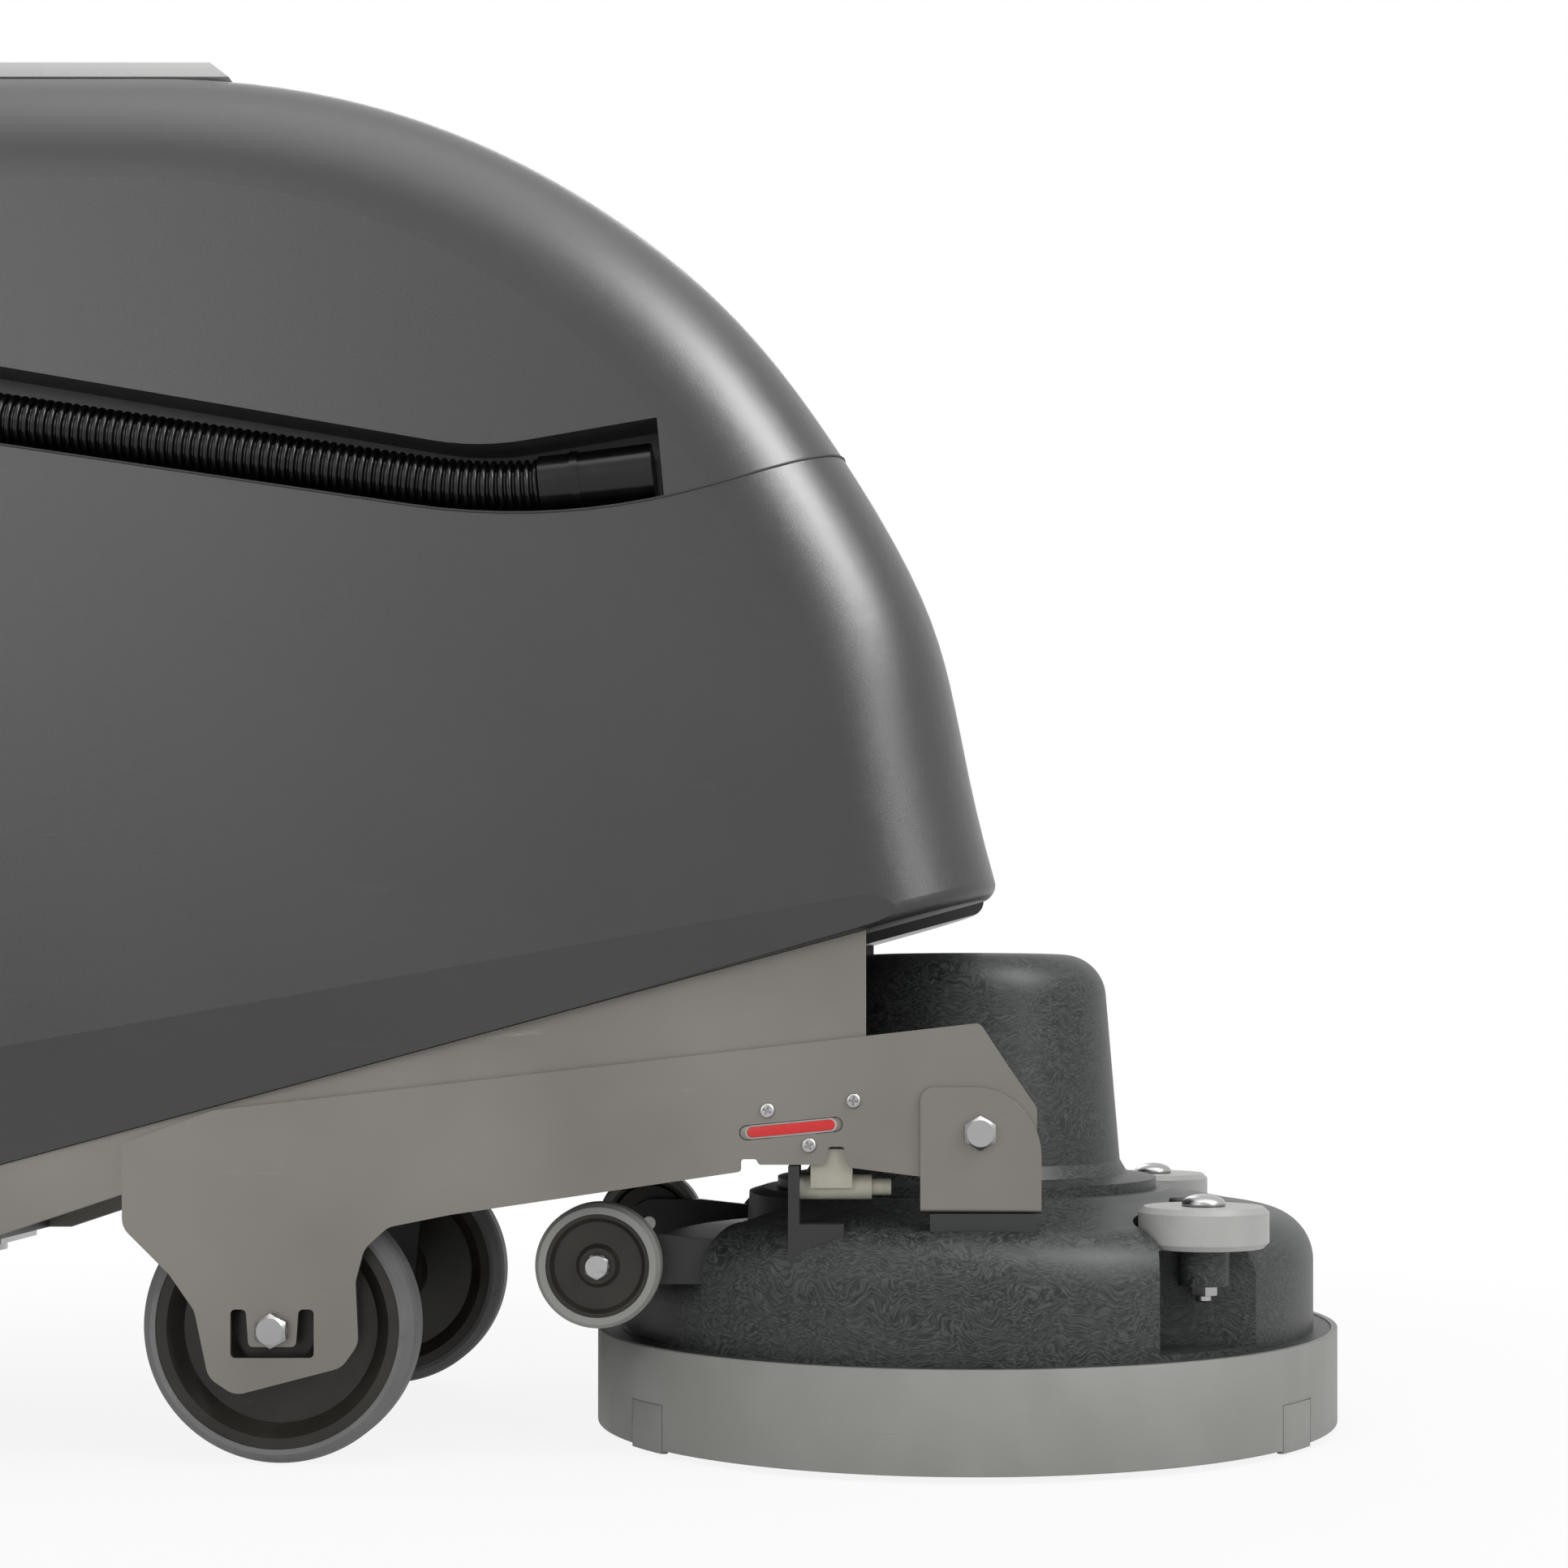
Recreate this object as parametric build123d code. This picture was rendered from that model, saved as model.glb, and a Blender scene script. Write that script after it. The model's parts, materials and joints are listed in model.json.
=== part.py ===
from build123d import *
import math
import os

# Walk-behind floor scrubber with a disc deck that folds up in front of its tanks.
# Millimetres. +X is the front, +Z is up, the floor is z = 0 and y = 0 is the middle plane.

# Clearances
RUN = 0.1               # radial play of a wheel, pin or shaft
SEAM = 0.4              # gap along the joint line between two pieces
TANK_SEAM = 0.8         # and between the two tanks
SIDE = 1.0              # side play between plates that swing past each other

# Tanks, seen from the side
BODY_HALF = 255         # half width of both tanks
BODY_ROUND = 100        # round along the top and front edges
BODY_REAR = -602
CROWN_Z = 1024          # flat top under the lid
CROWN_X = -200          # where the front curve starts
REAR_ROUND = 150
BROW = (100, 945)
CHEEK = (222, 852)
SEAM_FRONT = (307, 743)
CHIN = (370, 629)
NOSE_X = 424
NOSE_ROUND = 12
FLOOR_Z = 205           # underside of the lower tank at the back
FLOOR_BREAK = -351      # from here the underside climbs to the front
FLOOR_SLOPE = 15.2
BAND_REAR = (-168, 326)  # top line of the drawn-in band along the bottom edge
BAND_FRONT = (379, 423)
BAND_DEPTH = 10

# Joint line between the tanks: a falling line and one arc
PARTING_LOW_X = 73.8
PARTING_LOW_Z = 684.6
PARTING_R = 504
PARTING_SLOPE = 8.42
PARTING_RISE = 32
CUT_MARGIN = 60
OVERCUT = 1             # cutters run this far past the face they open

# Drain hose and the recess that holds it
RECESS_DEPTH = 48
RECESS_FRONT = (176, 753)
RECESS_WAIST = (49, 731)
RECESS_REAR_X = -440
RECESS_SLOPE = 9.7
RECESS_ROUND = 200
RECESS_TOE = 12
HOSE_R = 18.5
HOSE_ROOT_R = 15.6
HOSE_BORE_R = 13
RIB_PITCH = 6.2
HOSE_LIFT = 22.8        # hose axis above the joint line
HOSE_CORNER_X = 52
HOSE_TIP_X = 172
HOSE_BEND_R = 380
CUFF_R = 20.4
CUFF_LENGTH = 29
PLUG_R = 21.5
PLUG_LENGTH = 53
SADDLE_HALF = 8         # saddles on the recess wall that hold the hose
SADDLE_RISE = 12
SADDLE_SHARES = (0.06, 0.36, 0.7)

# Hollows of the tanks
TUNNEL_X = 205          # room for the brush motor when the deck is folded
TUNNEL_HALF = 136
TUNNEL_ROOF = 458
TUNNEL_ROUND = 40
BAY_REAR = -560         # battery bay, open below
BAY_FRONT = -225
BAY_HALF = 200
BAY_ROOF = 455
BAY_ROUND = 25
BATTERY_PLAY = 30       # free length and height in the bay
VACUUM_X = -470
VACUUM_R = 78
VACUUM_DEPTH = 150
VACUUM_PLAY = 3
VACUUM_SINK = 20        # motor top below the joint line
VACUUM_CAP_H = 40
VACUUM_CAP_STEP = 22
WELL_REAR = -455        # lid well in the upper tank
WELL_FRONT = -185
WELL_HALF = 130
WELL_DEPTH = 190
WELL_ROUND = 40

# Recovery lid
LID_HALF = 176
LID_FRONT = -150
LID_REAR = -468
LID_THICK = 11
LID_SLANT = 14
LID_ROUND = 24
LID_PIN_X = -480
LID_PIN_R = 4
LID_KNUCKLE_R = 8
LID_KNUCKLE_HALF = 60
LID_EAR = 24
LID_LIFT = 1            # knuckle above the crown
LID_EAR_SINK = 2

# Chassis plates, counted outwards from the wheels
AXLE_X = -102
AXLE_R = 12.5
STUB_R = 8
WHEEL_R = 100
WHEEL_W = 44
WHEEL_RAIL_GAP = 5
TYRE_DEPTH = 11.5
HANGER_T = 6
HANGER_GAP = 6
HANGER_HALF = 38
RAIL_SET = 24           # rails inside the tank sides
RAIL_IN = BODY_HALF - RAIL_SET
WHEEL_IN = RAIL_IN - WHEEL_RAIL_GAP - WHEEL_W
RAIL_T = 3
ARM_GAP = 2
ARM_T = 4
BRACKET_T = 4
RAIL_REAR = -590
RAIL_FRONT = 325
BEAM_X = -102           # cross beam that carries the hangers
BEAM_HALF = 30
BEAM_TOP = 262
BEAM_H = 36
TRAY_FRONT = -215
TRAY_T = 6
TRAY_LIP = 25
REAR_BEAM_X = -470
REAR_BEAM_HALF = 52
REAR_BEAM_Z = 135
TUBE_WALL = 4
FRONT_BEAM_X = 165
FRONT_BEAM_HALF = 15
FRONT_BEAM_H = 34

# Side arms
ARM_TOP_Z = 263         # top edge above the axle, deck down
ARM_SLOPE = 6.5
RAIL_LAP = 24           # the arms cover this much of the rails
ARM_TUBE_X = 113
ARM_TUBE_Z = 210
ARM_TUBE_R = 12
ARM_TUBE_WALL = 3
SLOT_X = 271
SLOT_Z = 245
SLOT_L = 75
SLOT_H = 11
SLOT_ANGLE = 5.5
LUG_ROUND = 16          # corners of the arm round the axle
ARM_ROUND = 6           # its other corners
NOTCH_ROUND = 2.5       # and those of the tabs below the slot
TROUGH_ROUND = 3.5      # corners of the cut-out round the axle bolt
STRIP_SINK = 1          # the red strip lies this far under the arm's face
SCREW_SPOTS = ((-17, 13), (13, -12), (45, 20))  # from the slot's middle
SCREW_R = 5.5
SCREW_H = 3

# Deck
DECK_X = 403
HINGE_X = 407
HINGE_Z = 242
HINGE_R = 8
BOLT_FLATS = 22
BOLT_HEAD = 8
SKIRT_R = 297
SKIRT_T = 5
SKIRT_LOW = 4.5
SKIRT_TOP = 79
SKIRT_FLOAT = 40        # the skirt slides up this far
TAB_ANGLES = (35, 145, 215, 325)
TAB_W = 46
TAB_H = 34
TAB_DROP = 2.5
TAB_LINE = 1            # line moulded round each tab
SHELL_R = 278
SHELL_T = 7
SHELL_FLANGE = 64
SHELL_ROUND = 40
REAR_R = 274            # rear sector, between the small wheels
SHELL_TOP = 150
DRUM_TOP = 172          # the drum in front of it, at its rounded edge
DRUM_CREST = 184        # and at the foot of the motor's pedestal
DRUM_HALF = 136         # degrees to either side of straight ahead
PEDESTAL_R = 165
PEDESTAL_FOOT = 178
PEDESTAL_TOP = 188
PAD_BLOCK_T = 12
BRACKET_REAR = 364
BRACKET_FRONT = 451
BRACKET_TOP = 275
BRACKET_ROUND = 50
BRACKET_BEND = 4        # outer radius of the bend at the foot
BRACKET_FOOT = 20
FLANGE_R = 153
FLANGE_T = 8
COVER_R = 124
COVER_TOP_R = 110
COVER_TOP = 375
COVER_ROUND = 35
COVER_T = 4
MOTOR_R = 84
MOTOR_TOP = 330
SHAFT_R = 14
ROLLER_X = 573
ROLLER_Y = 195
ROLLER_Z = 171
ROLLER_R = 48
ROLLER_H = 30
ROLLER_BOLT_R = 6
BOSS_R = 19
BOSS_LOW = 128
ROLLER_PLAY = 4         # pocket round each roller
POCKET_X = 536          # corner pocket under each roller, for its lug and nut
POCKET_Y = 182
POCKET_LOW = 3          # its floor above the skirt
DOME_R = 15
STOP_X = 560            # rubber stops on the drum
STOP_Y = 136
STOP_R = 6.5
STOP_TOP = 188
DECK_WHEEL_X = 128      # rear deck wheels
DECK_WHEEL_Y = 195
DECK_WHEEL_Z = 143
DECK_WHEEL_R = 46
DECK_WHEEL_W = 26
DECK_WHEEL_TYRE = 8
DECK_WHEEL_PIN_R = 6
CARRIER_T = 6
CARRIER_LOW = 8         # carrier above the raised skirt
CARRIER_EYE = 14
VALVE_X = 303           # water valve
VALVE_GAP = 14          # its axis inside the right arm
VALVE_LIFT = 30
VALVE_PLATE_HALF = 18   # its bent plate
VALVE_PLATE_REAR = 34
VALVE_PLATE_FRONT = 6
VALVE_PLATE_T = 8
VALVE_PLATE_H = 46
VALVE_FOOT_T = 4
VALVE_FOOT_IN = 204     # inner end of the plate's foot, on the drum

# Pad drive
PAD_R = 270
PAD_T = 25
PAD_HOLE = 45
BRISTLE_L = 20
BRISTLE_W = 3.2
BRISTLE_RINGS = (80, 115, 150, 185, 220, 250)
BRISTLE_STEP = 19
BACKING_T = 3
DRIVER_R = 264
DRIVER_T = 12
DRIVER_HUB_R = 42
DRIVER_HUB_H = 30

# Casters at the back
CASTER_X = -470
CASTER_Y = 170
CASTER_TRAIL = 25
CASTER_R = 50
CASTER_W = 28
CASTER_PLATE = 92
CASTER_PLATE_T = 6
KING_R = 9
FORK_TOP = 8
FORK_R = 34
FORK_T = 4
CASTER_PIN_R = 5

# Squeegee
SQUEEGEE_R = 700
SQUEEGEE_HALF = 360
SQUEEGEE_REAR = -690
SQUEEGEE_W = 46
SQUEEGEE_TOP = 76
SQUEEGEE_T = 12
BLADE_T = 4
LINK_PIN_X = -556
LINK_PIN_Z = 118
LINK_PIN_R = 6
LINK_Y = 92
LINK_T = 6
SPIGOT_R = 19
SPIGOT_H = 45
SPIGOT_WALL = 3

# Console, handle and controls
SEAT_DEPTH = 144        # slanted seat, down from the crown
SEAT_LOW = (-602, CROWN_Z - SEAT_DEPTH)
SEAT_TOP = (-512, CROWN_Z)
CONSOLE_HALF = 236
CONSOLE_REAR = -625
CONSOLE_DROP = 132      # lower edge and shelf below the crown
SHELF_DROP = 69
CONSOLE_RISE = 10       # top edge above it
CONSOLE_LOW = CROWN_Z - CONSOLE_DROP
CONSOLE_SHELF = CROWN_Z - SHELF_DROP
CONSOLE_TOP = (-556, CROWN_Z + CONSOLE_RISE)
CONSOLE_ROUND = 10
HANDLE_REAR = -700
HANDLE_R = 14
HANDLE_Y = 214
HANDLE_Z = CONSOLE_SHELF - 30
HANDLE_BEND = 40
GRIP_R = 17
GRIP_L = 150
TRIGGER_HALF = 120
TRIGGER_T = 6
TRIGGER_REACH = 40
TRIGGER_PIN_R = 3
BUTTON_R = 12
BUTTON_H = 9
BUTTON_Y = 70
KNOB_R = 18
KNOB_H = 16
INLET_Z = 800           # suction inlet on the back of the upper tank
INLET_L = 40

nodes = {}


def box(x0, x1, y0, y1, z0, z1):
    centre = Pos((x0 + x1) / 2, (y0 + y1) / 2, (z0 + z1) / 2)
    return centre * Box(x1 - x0, y1 - y0, z1 - z0)


def side_solid(face, y_low, y_high):
    """A face drawn in x and z, thickened from y_low to y_high."""
    return extrude(Plane.XZ.offset(-y_high) * face, y_high - y_low, dir=(0, -1, 0))


def side_plate(points, y_low, y_high):
    return side_solid(Polygon(*points, align=None), y_low, y_high)


def closed_face(*curves):
    return make_face([edge for curve in curves for edge in curve.edges()])


def cross_rod(x, z, radius, y_low, y_high):
    """A round bar along y."""
    bar = Cylinder(radius, y_high - y_low)
    return Pos(x, (y_low + y_high) / 2, z) * Rot(90, 0, 0) * bar


def post(x, y, radius, z_low, z_high):
    return Pos(x, y, (z_low + z_high) / 2) * Cylinder(radius, z_high - z_low)


def turned(points, x=0, y=0):
    """A piece turned about a vertical axis from its half section in r and z."""
    return Pos(x, y, 0) * revolve(Plane.XZ * Polygon(*points, align=None), Axis.Z)


def wheel_turned(points, x, y, z):
    """A wheel turned about y from its half section in r and width."""
    shape = revolve(Plane.XZ * Polygon(*points, align=None), Axis.Z)
    return Pos(x, y, z) * Rot(90, 0, 0) * shape


def other_side(shape):
    return mirror(shape, about=Plane.XZ)


def both_sides(shape):
    return [shape, other_side(shape)]


def hex_head(x, z, y_low, y_high, flats=BOLT_FLATS):
    face = RegularPolygon(flats / 2, 6, major_radius=False)
    return side_solid(Pos(x, z) * face, y_low, y_high)


def add(name, *shapes):
    nodes[name] = [solid for shape in shapes for solid in shape.solids()]


# Tanks


def tank_floor(x):
    return FLOOR_Z + max(0, x - FLOOR_BREAK) * math.tan(math.radians(FLOOR_SLOPE))


def parting_line_z(x):
    """The straight stretch of the joint line, carried on past its end."""
    slope = math.radians(PARTING_SLOPE)
    start_x = PARTING_LOW_X - PARTING_R * math.sin(slope)
    start_z = PARTING_LOW_Z + PARTING_R * (1 - math.cos(slope))
    return start_z + (start_x - x) * math.tan(slope)


def parting_arc_z(x):
    return PARTING_LOW_Z + PARTING_R - math.sqrt(PARTING_R**2 - (x - PARTING_LOW_X) ** 2)


def parting_face(lift, z_close):
    """The region between the joint line and a level well above or below it."""
    slope = math.radians(PARTING_SLOPE)
    rise = math.radians(PARTING_RISE)
    arc_start_x = PARTING_LOW_X - PARTING_R * math.sin(slope)
    arc_end_x = PARTING_LOW_X + PARTING_R * math.sin(rise)
    rear_x = BODY_REAR - CUT_MARGIN
    front_x = max(NOSE_X, arc_end_x) + CUT_MARGIN
    rear = (rear_x, parting_line_z(rear_x) + lift)
    start = (arc_start_x, parting_line_z(arc_start_x) + lift)
    low = (PARTING_LOW_X, PARTING_LOW_Z + lift)
    end = (arc_end_x, parting_arc_z(arc_end_x) + lift)
    front = (front_x, end[1] + (front_x - arc_end_x) * math.tan(rise))
    return closed_face(
        Line(rear, start),
        ThreePointArc(start, low, end),
        Line(end, front),
        Polyline(front, (front_x, z_close), (rear_x, z_close), rear),
    )


def tank_body():
    """Both tanks as one moulding, before it is cut along the joint line."""
    nose = (NOSE_X, tank_floor(NOSE_X))
    crown = (CROWN_X, CROWN_Z)
    rear_top = (BODY_REAR + REAR_ROUND, CROWN_Z)
    rear_side = (BODY_REAR, CROWN_Z - REAR_ROUND)
    outline = closed_face(
        Spline(crown, BROW, CHEEK, SEAM_FRONT, CHIN, nose, tangents=[(1, 0), (0.3, -1)]),
        Polyline(nose, (FLOOR_BREAK, FLOOR_Z), (BODY_REAR, FLOOR_Z), rear_side),
        RadiusArc(rear_side, rear_top, REAR_ROUND),
        Line(rear_top, crown),
    )
    body = side_solid(outline, -BODY_HALF, BODY_HALF)

    def above_floor(edge):
        middle = edge.center()
        on_side = abs(abs(middle.Y) - BODY_HALF) < 0.01
        return on_side and middle.Z > tank_floor(middle.X) + 1

    body = fillet(body.edges().filter_by(above_floor), BODY_ROUND)

    def nose_edge(edge):
        middle = edge.center()
        on_floor = abs(middle.Z - tank_floor(middle.X)) < 0.5
        return on_floor and middle.X > CROWN_X and abs(middle.Y) < BODY_HALF - 1

    return fillet(body.edges().filter_by(nose_edge), NOSE_ROUND)


def band_plane(side):
    """The plane that draws the sides in towards the bottom edge."""
    middle_x = (BAND_REAR[0] + BAND_FRONT[0]) / 2
    high = Vector(BAND_REAR[0], side * BODY_HALF, BAND_REAR[1])
    along = Vector(BAND_FRONT[0], side * BODY_HALF, BAND_FRONT[1]) - high
    down = Vector(middle_x, side * (BODY_HALF - BAND_DEPTH), tank_floor(middle_x)) - high
    normal = along.cross(down)
    if normal.Y * side < 0:
        normal = normal * -1
    return Plane(origin=high, x_dir=along, z_dir=normal)


def make_tanks():
    body = tank_body()
    lower = body & side_solid(parting_face(0, FLOOR_Z - CUT_MARGIN), -BODY_HALF, BODY_HALF)
    upper = body & side_solid(parting_face(TANK_SEAM, CROWN_Z + CUT_MARGIN), -BODY_HALF, BODY_HALF)

    for side in (-1, 1):
        lower = split(lower, bisect_by=band_plane(side), keep=Keep.BOTTOM)
    tunnel = box(TUNNEL_X, NOSE_X + CUT_MARGIN, -TUNNEL_HALF, TUNNEL_HALF, 0, TUNNEL_ROOF)
    roof_edges = tunnel.edges().filter_by(Axis.X).group_by(Axis.Z)[-1]
    lower -= fillet(roof_edges, TUNNEL_ROUND)
    bay = box(BAY_REAR, BAY_FRONT, -BAY_HALF, BAY_HALF, 0, BAY_ROOF)
    lower -= fillet(bay.edges().filter_by(Axis.Z), BAY_ROUND)
    vacuum_floor = parting_line_z(VACUUM_X) - VACUUM_DEPTH
    lower -= post(VACUUM_X, 0, VACUUM_R, vacuum_floor, CROWN_Z)

    far = RECESS_REAR_X
    far_top = RECESS_WAIST[1] + (RECESS_WAIST[0] - far) * math.tan(math.radians(RECESS_SLOPE))
    low = PARTING_LOW_Z - CUT_MARGIN
    lean = math.tan(math.radians(PARTING_SLOPE)) * (far_top - low)
    front = (RECESS_FRONT[0] + RECESS_TOE, low)
    recess = Polygon(front, RECESS_FRONT, RECESS_WAIST, (far, far_top), (far - lean, low), align=None)
    waist = recess.vertices().sort_by_distance(Vector(*RECESS_WAIST))[0]
    recess = fillet(waist, RECESS_ROUND)
    upper -= side_solid(recess, -BODY_HALF - OVERCUT, -BODY_HALF + RECESS_DEPTH)

    well = box(WELL_REAR, WELL_FRONT, -WELL_HALF, WELL_HALF, CROWN_Z - WELL_DEPTH, CROWN_Z + OVERCUT)
    well = fillet(well.edges().filter_by(Axis.Z), WELL_ROUND)
    upper -= well
    seat_run = SEAT_TOP[0] - SEAT_LOW[0]
    seat_rise = SEAT_TOP[1] - SEAT_LOW[1]
    below = (SEAT_LOW[0] - seat_run, SEAT_LOW[1] - seat_rise)
    above = (SEAT_TOP[0] + seat_run, SEAT_TOP[1] + seat_rise)
    upper -= side_plate([below, above, (below[0], above[1])], -BODY_HALF, BODY_HALF)
    pin_z = CROWN_Z + LID_KNUCKLE_R + LID_LIFT
    for side in (-1, 1):
        y0 = side * (LID_KNUCKLE_HALF + SEAM)
        y1 = side * (LID_KNUCKLE_HALF + LID_EAR)
        ear = cross_rod(LID_PIN_X, pin_z, LID_KNUCKLE_R, min(y0, y1), max(y0, y1))
        foot_x0 = LID_PIN_X - LID_KNUCKLE_R
        foot_x1 = LID_PIN_X + LID_KNUCKLE_R
        foot = box(foot_x0, foot_x1, min(y0, y1), max(y0, y1), CROWN_Z - LID_EAR_SINK, pin_z)
        hole = cross_rod(LID_PIN_X, pin_z, LID_PIN_R, min(y0, y1), max(y0, y1))
        upper += ear + foot
        upper -= hole
    inlet = Pos(BODY_REAR - INLET_L / 2, 0, INLET_Z) * Rot(0, 90, 0)
    upper += inlet * (Cylinder(SPIGOT_R, INLET_L) - Cylinder(SPIGOT_R - SPIGOT_WALL, INLET_L))
    add("lower_tank", lower)
    add("upper_tank", upper)

    motor_floor = vacuum_floor + SEAM
    motor_top = parting_line_z(VACUUM_X) - VACUUM_SINK
    cap_low = motor_top - VACUUM_CAP_H
    can = post(VACUUM_X, 0, VACUUM_R - VACUUM_PLAY, motor_floor, cap_low)
    cap = post(VACUUM_X, 0, VACUUM_R - VACUUM_CAP_STEP, cap_low, motor_top)
    add("vacuum_motor", can + cap)

    pin_end = LID_KNUCKLE_HALF + LID_EAR
    add("lid_hinge_pin", cross_rod(LID_PIN_X, pin_z, LID_PIN_R, -pin_end, pin_end))
    z0 = CROWN_Z + SEAM
    z1 = CROWN_Z + LID_THICK
    lid = side_plate(
        [(LID_REAR, z0), (LID_FRONT, z0), (LID_FRONT - LID_SLANT, z1), (LID_REAR, z1)],
        -LID_HALF,
        LID_HALF,
    )
    lid = fillet(lid.edges().filter_by(Axis.Z), LID_ROUND)
    neck_low = z0 + LID_EAR_SINK + LID_LIFT
    neck = box(LID_PIN_X, LID_REAR + OVERCUT, -LID_KNUCKLE_HALF, LID_KNUCKLE_HALF, neck_low, z1)
    knuckle = cross_rod(LID_PIN_X, pin_z, LID_KNUCKLE_R, -LID_KNUCKLE_HALF, LID_KNUCKLE_HALF)
    hole = cross_rod(LID_PIN_X, pin_z, LID_PIN_R + RUN, -LID_KNUCKLE_HALF, LID_KNUCKLE_HALF)
    add("recovery_lid", lid + neck + knuckle - hole)


make_tanks()


# Drain hose, held in the recess of the upper tank


def make_hose():
    hose_y = -BODY_HALF + RECESS_DEPTH / 2
    slope = math.radians(PARTING_SLOPE)
    start_x = RECESS_REAR_X + CUFF_LENGTH * math.sin(slope)
    start = (start_x, parting_line_z(start_x) + HOSE_LIFT / math.cos(slope))
    corner = (HOSE_CORNER_X, parting_line_z(HOSE_CORNER_X) + HOSE_LIFT)
    tip = (HOSE_TIP_X, parting_arc_z(HOSE_TIP_X) + HOSE_LIFT + 1)
    route = Plane.XZ.offset(-hose_y) * FilletPolyline(start, corner, tip, radius=HOSE_BEND_R)
    hose_end = route.length - PLUG_LENGTH - CUFF_LENGTH

    def section(distance, radius):
        point = route.position_at(distance, position_mode=PositionMode.LENGTH)
        along = route.tangent_at(distance, position_mode=PositionMode.LENGTH)
        return Plane(origin=point, x_dir=(0, 1, 0), z_dir=along) * Circle(radius)

    ribs = int(hose_end / RIB_PITCH)
    pitch = hose_end / ribs
    root_share = 0.2
    crest_share = 0.4
    steps = [
        (0, HOSE_ROOT_R),
        (root_share, HOSE_ROOT_R),
        (crest_share, HOSE_R),
        (1 - root_share, HOSE_R),
    ]
    rings = []
    for rib in range(ribs):
        for share, radius in steps:
            rings.append(section((rib + share) * pitch, radius))
    rings.append(section(hose_end, HOSE_ROOT_R))
    outside = loft(rings, ruled=True)
    bore_steps = 24
    bore_rings = [section(hose_end * i / bore_steps, HOSE_BORE_R) for i in range(bore_steps + 1)]
    add("drain_hose", outside - loft(bore_rings, ruled=True))

    cuff_end = hose_end + CUFF_LENGTH
    cuff = loft([section(hose_end, CUFF_R), section(cuff_end, CUFF_R)], ruled=True)
    bead_share = 0.8
    bead_at = hose_end + CUFF_LENGTH * bead_share
    bead = loft([section(bead_at, PLUG_R), section(cuff_end, PLUG_R)], ruled=True)
    add("hose_cuff", cuff + bead)
    neck_share = 0.15
    neck_end = cuff_end + PLUG_LENGTH * neck_share
    neck = loft([section(cuff_end, CUFF_R), section(neck_end, CUFF_R)], ruled=True)
    grip = loft([section(neck_end, PLUG_R - 1), section(route.length, PLUG_R)], ruled=True)
    add("hose_plug", neck + grip)

    def saddle(distance, radius):
        """A block on the back wall of the recess, hollowed to the hose."""
        middle = route.position_at(distance, position_mode=PositionMode.LENGTH)
        block = box(
            middle.X - SADDLE_HALF,
            middle.X + SADDLE_HALF,
            hose_y,
            -BODY_HALF + RECESS_DEPTH,
            middle.Z - SADDLE_RISE,
            middle.Z + SADDLE_RISE,
        )
        ends = (distance - 2 * SADDLE_HALF, distance + 2 * SADDLE_HALF)
        return block - loft([section(end, radius) for end in ends], ruled=True)

    upper = nodes["upper_tank"][0]
    for share in SADDLE_SHARES:
        upper += saddle(hose_end * share, HOSE_R)
    upper += saddle(hose_end + CUFF_LENGTH * bead_share / 2, CUFF_R)
    add("upper_tank", upper)
    print(f"hose: {ribs} ribs, {hose_end:.0f} mm long")


make_hose()


# Chassis

RAIL_OUT = RAIL_IN + RAIL_T
ARM_IN = RAIL_OUT + ARM_GAP
ARM_OUT = ARM_IN + ARM_T
VALVE_Y = VALVE_GAP - ARM_IN
BRACKET_IN = ARM_OUT + SIDE
BRACKET_OUT = BRACKET_IN + BRACKET_T
AXLE_Z = WHEEL_R
HANGER_OUT = WHEEL_IN - HANGER_GAP
HANGER_IN = HANGER_OUT - HANGER_T
TRAY_TOP = FLOOR_Z - 2


def rail_low(x):
    """Lower edge of the rails, hidden behind the top edge of the side arms."""
    return arm_top(x) - RAIL_LAP


def arm_top(x):
    return ARM_TOP_Z + (x - AXLE_X) * math.tan(math.radians(ARM_SLOPE))


def square_tube(x0, x1, z0, z1, half):
    outer = box(x0, x1, -half, half, z0, z1)
    return outer - box(x0 + TUBE_WALL, x1 - TUBE_WALL, -half, half, z0 + TUBE_WALL, z1 - TUBE_WALL)


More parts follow.
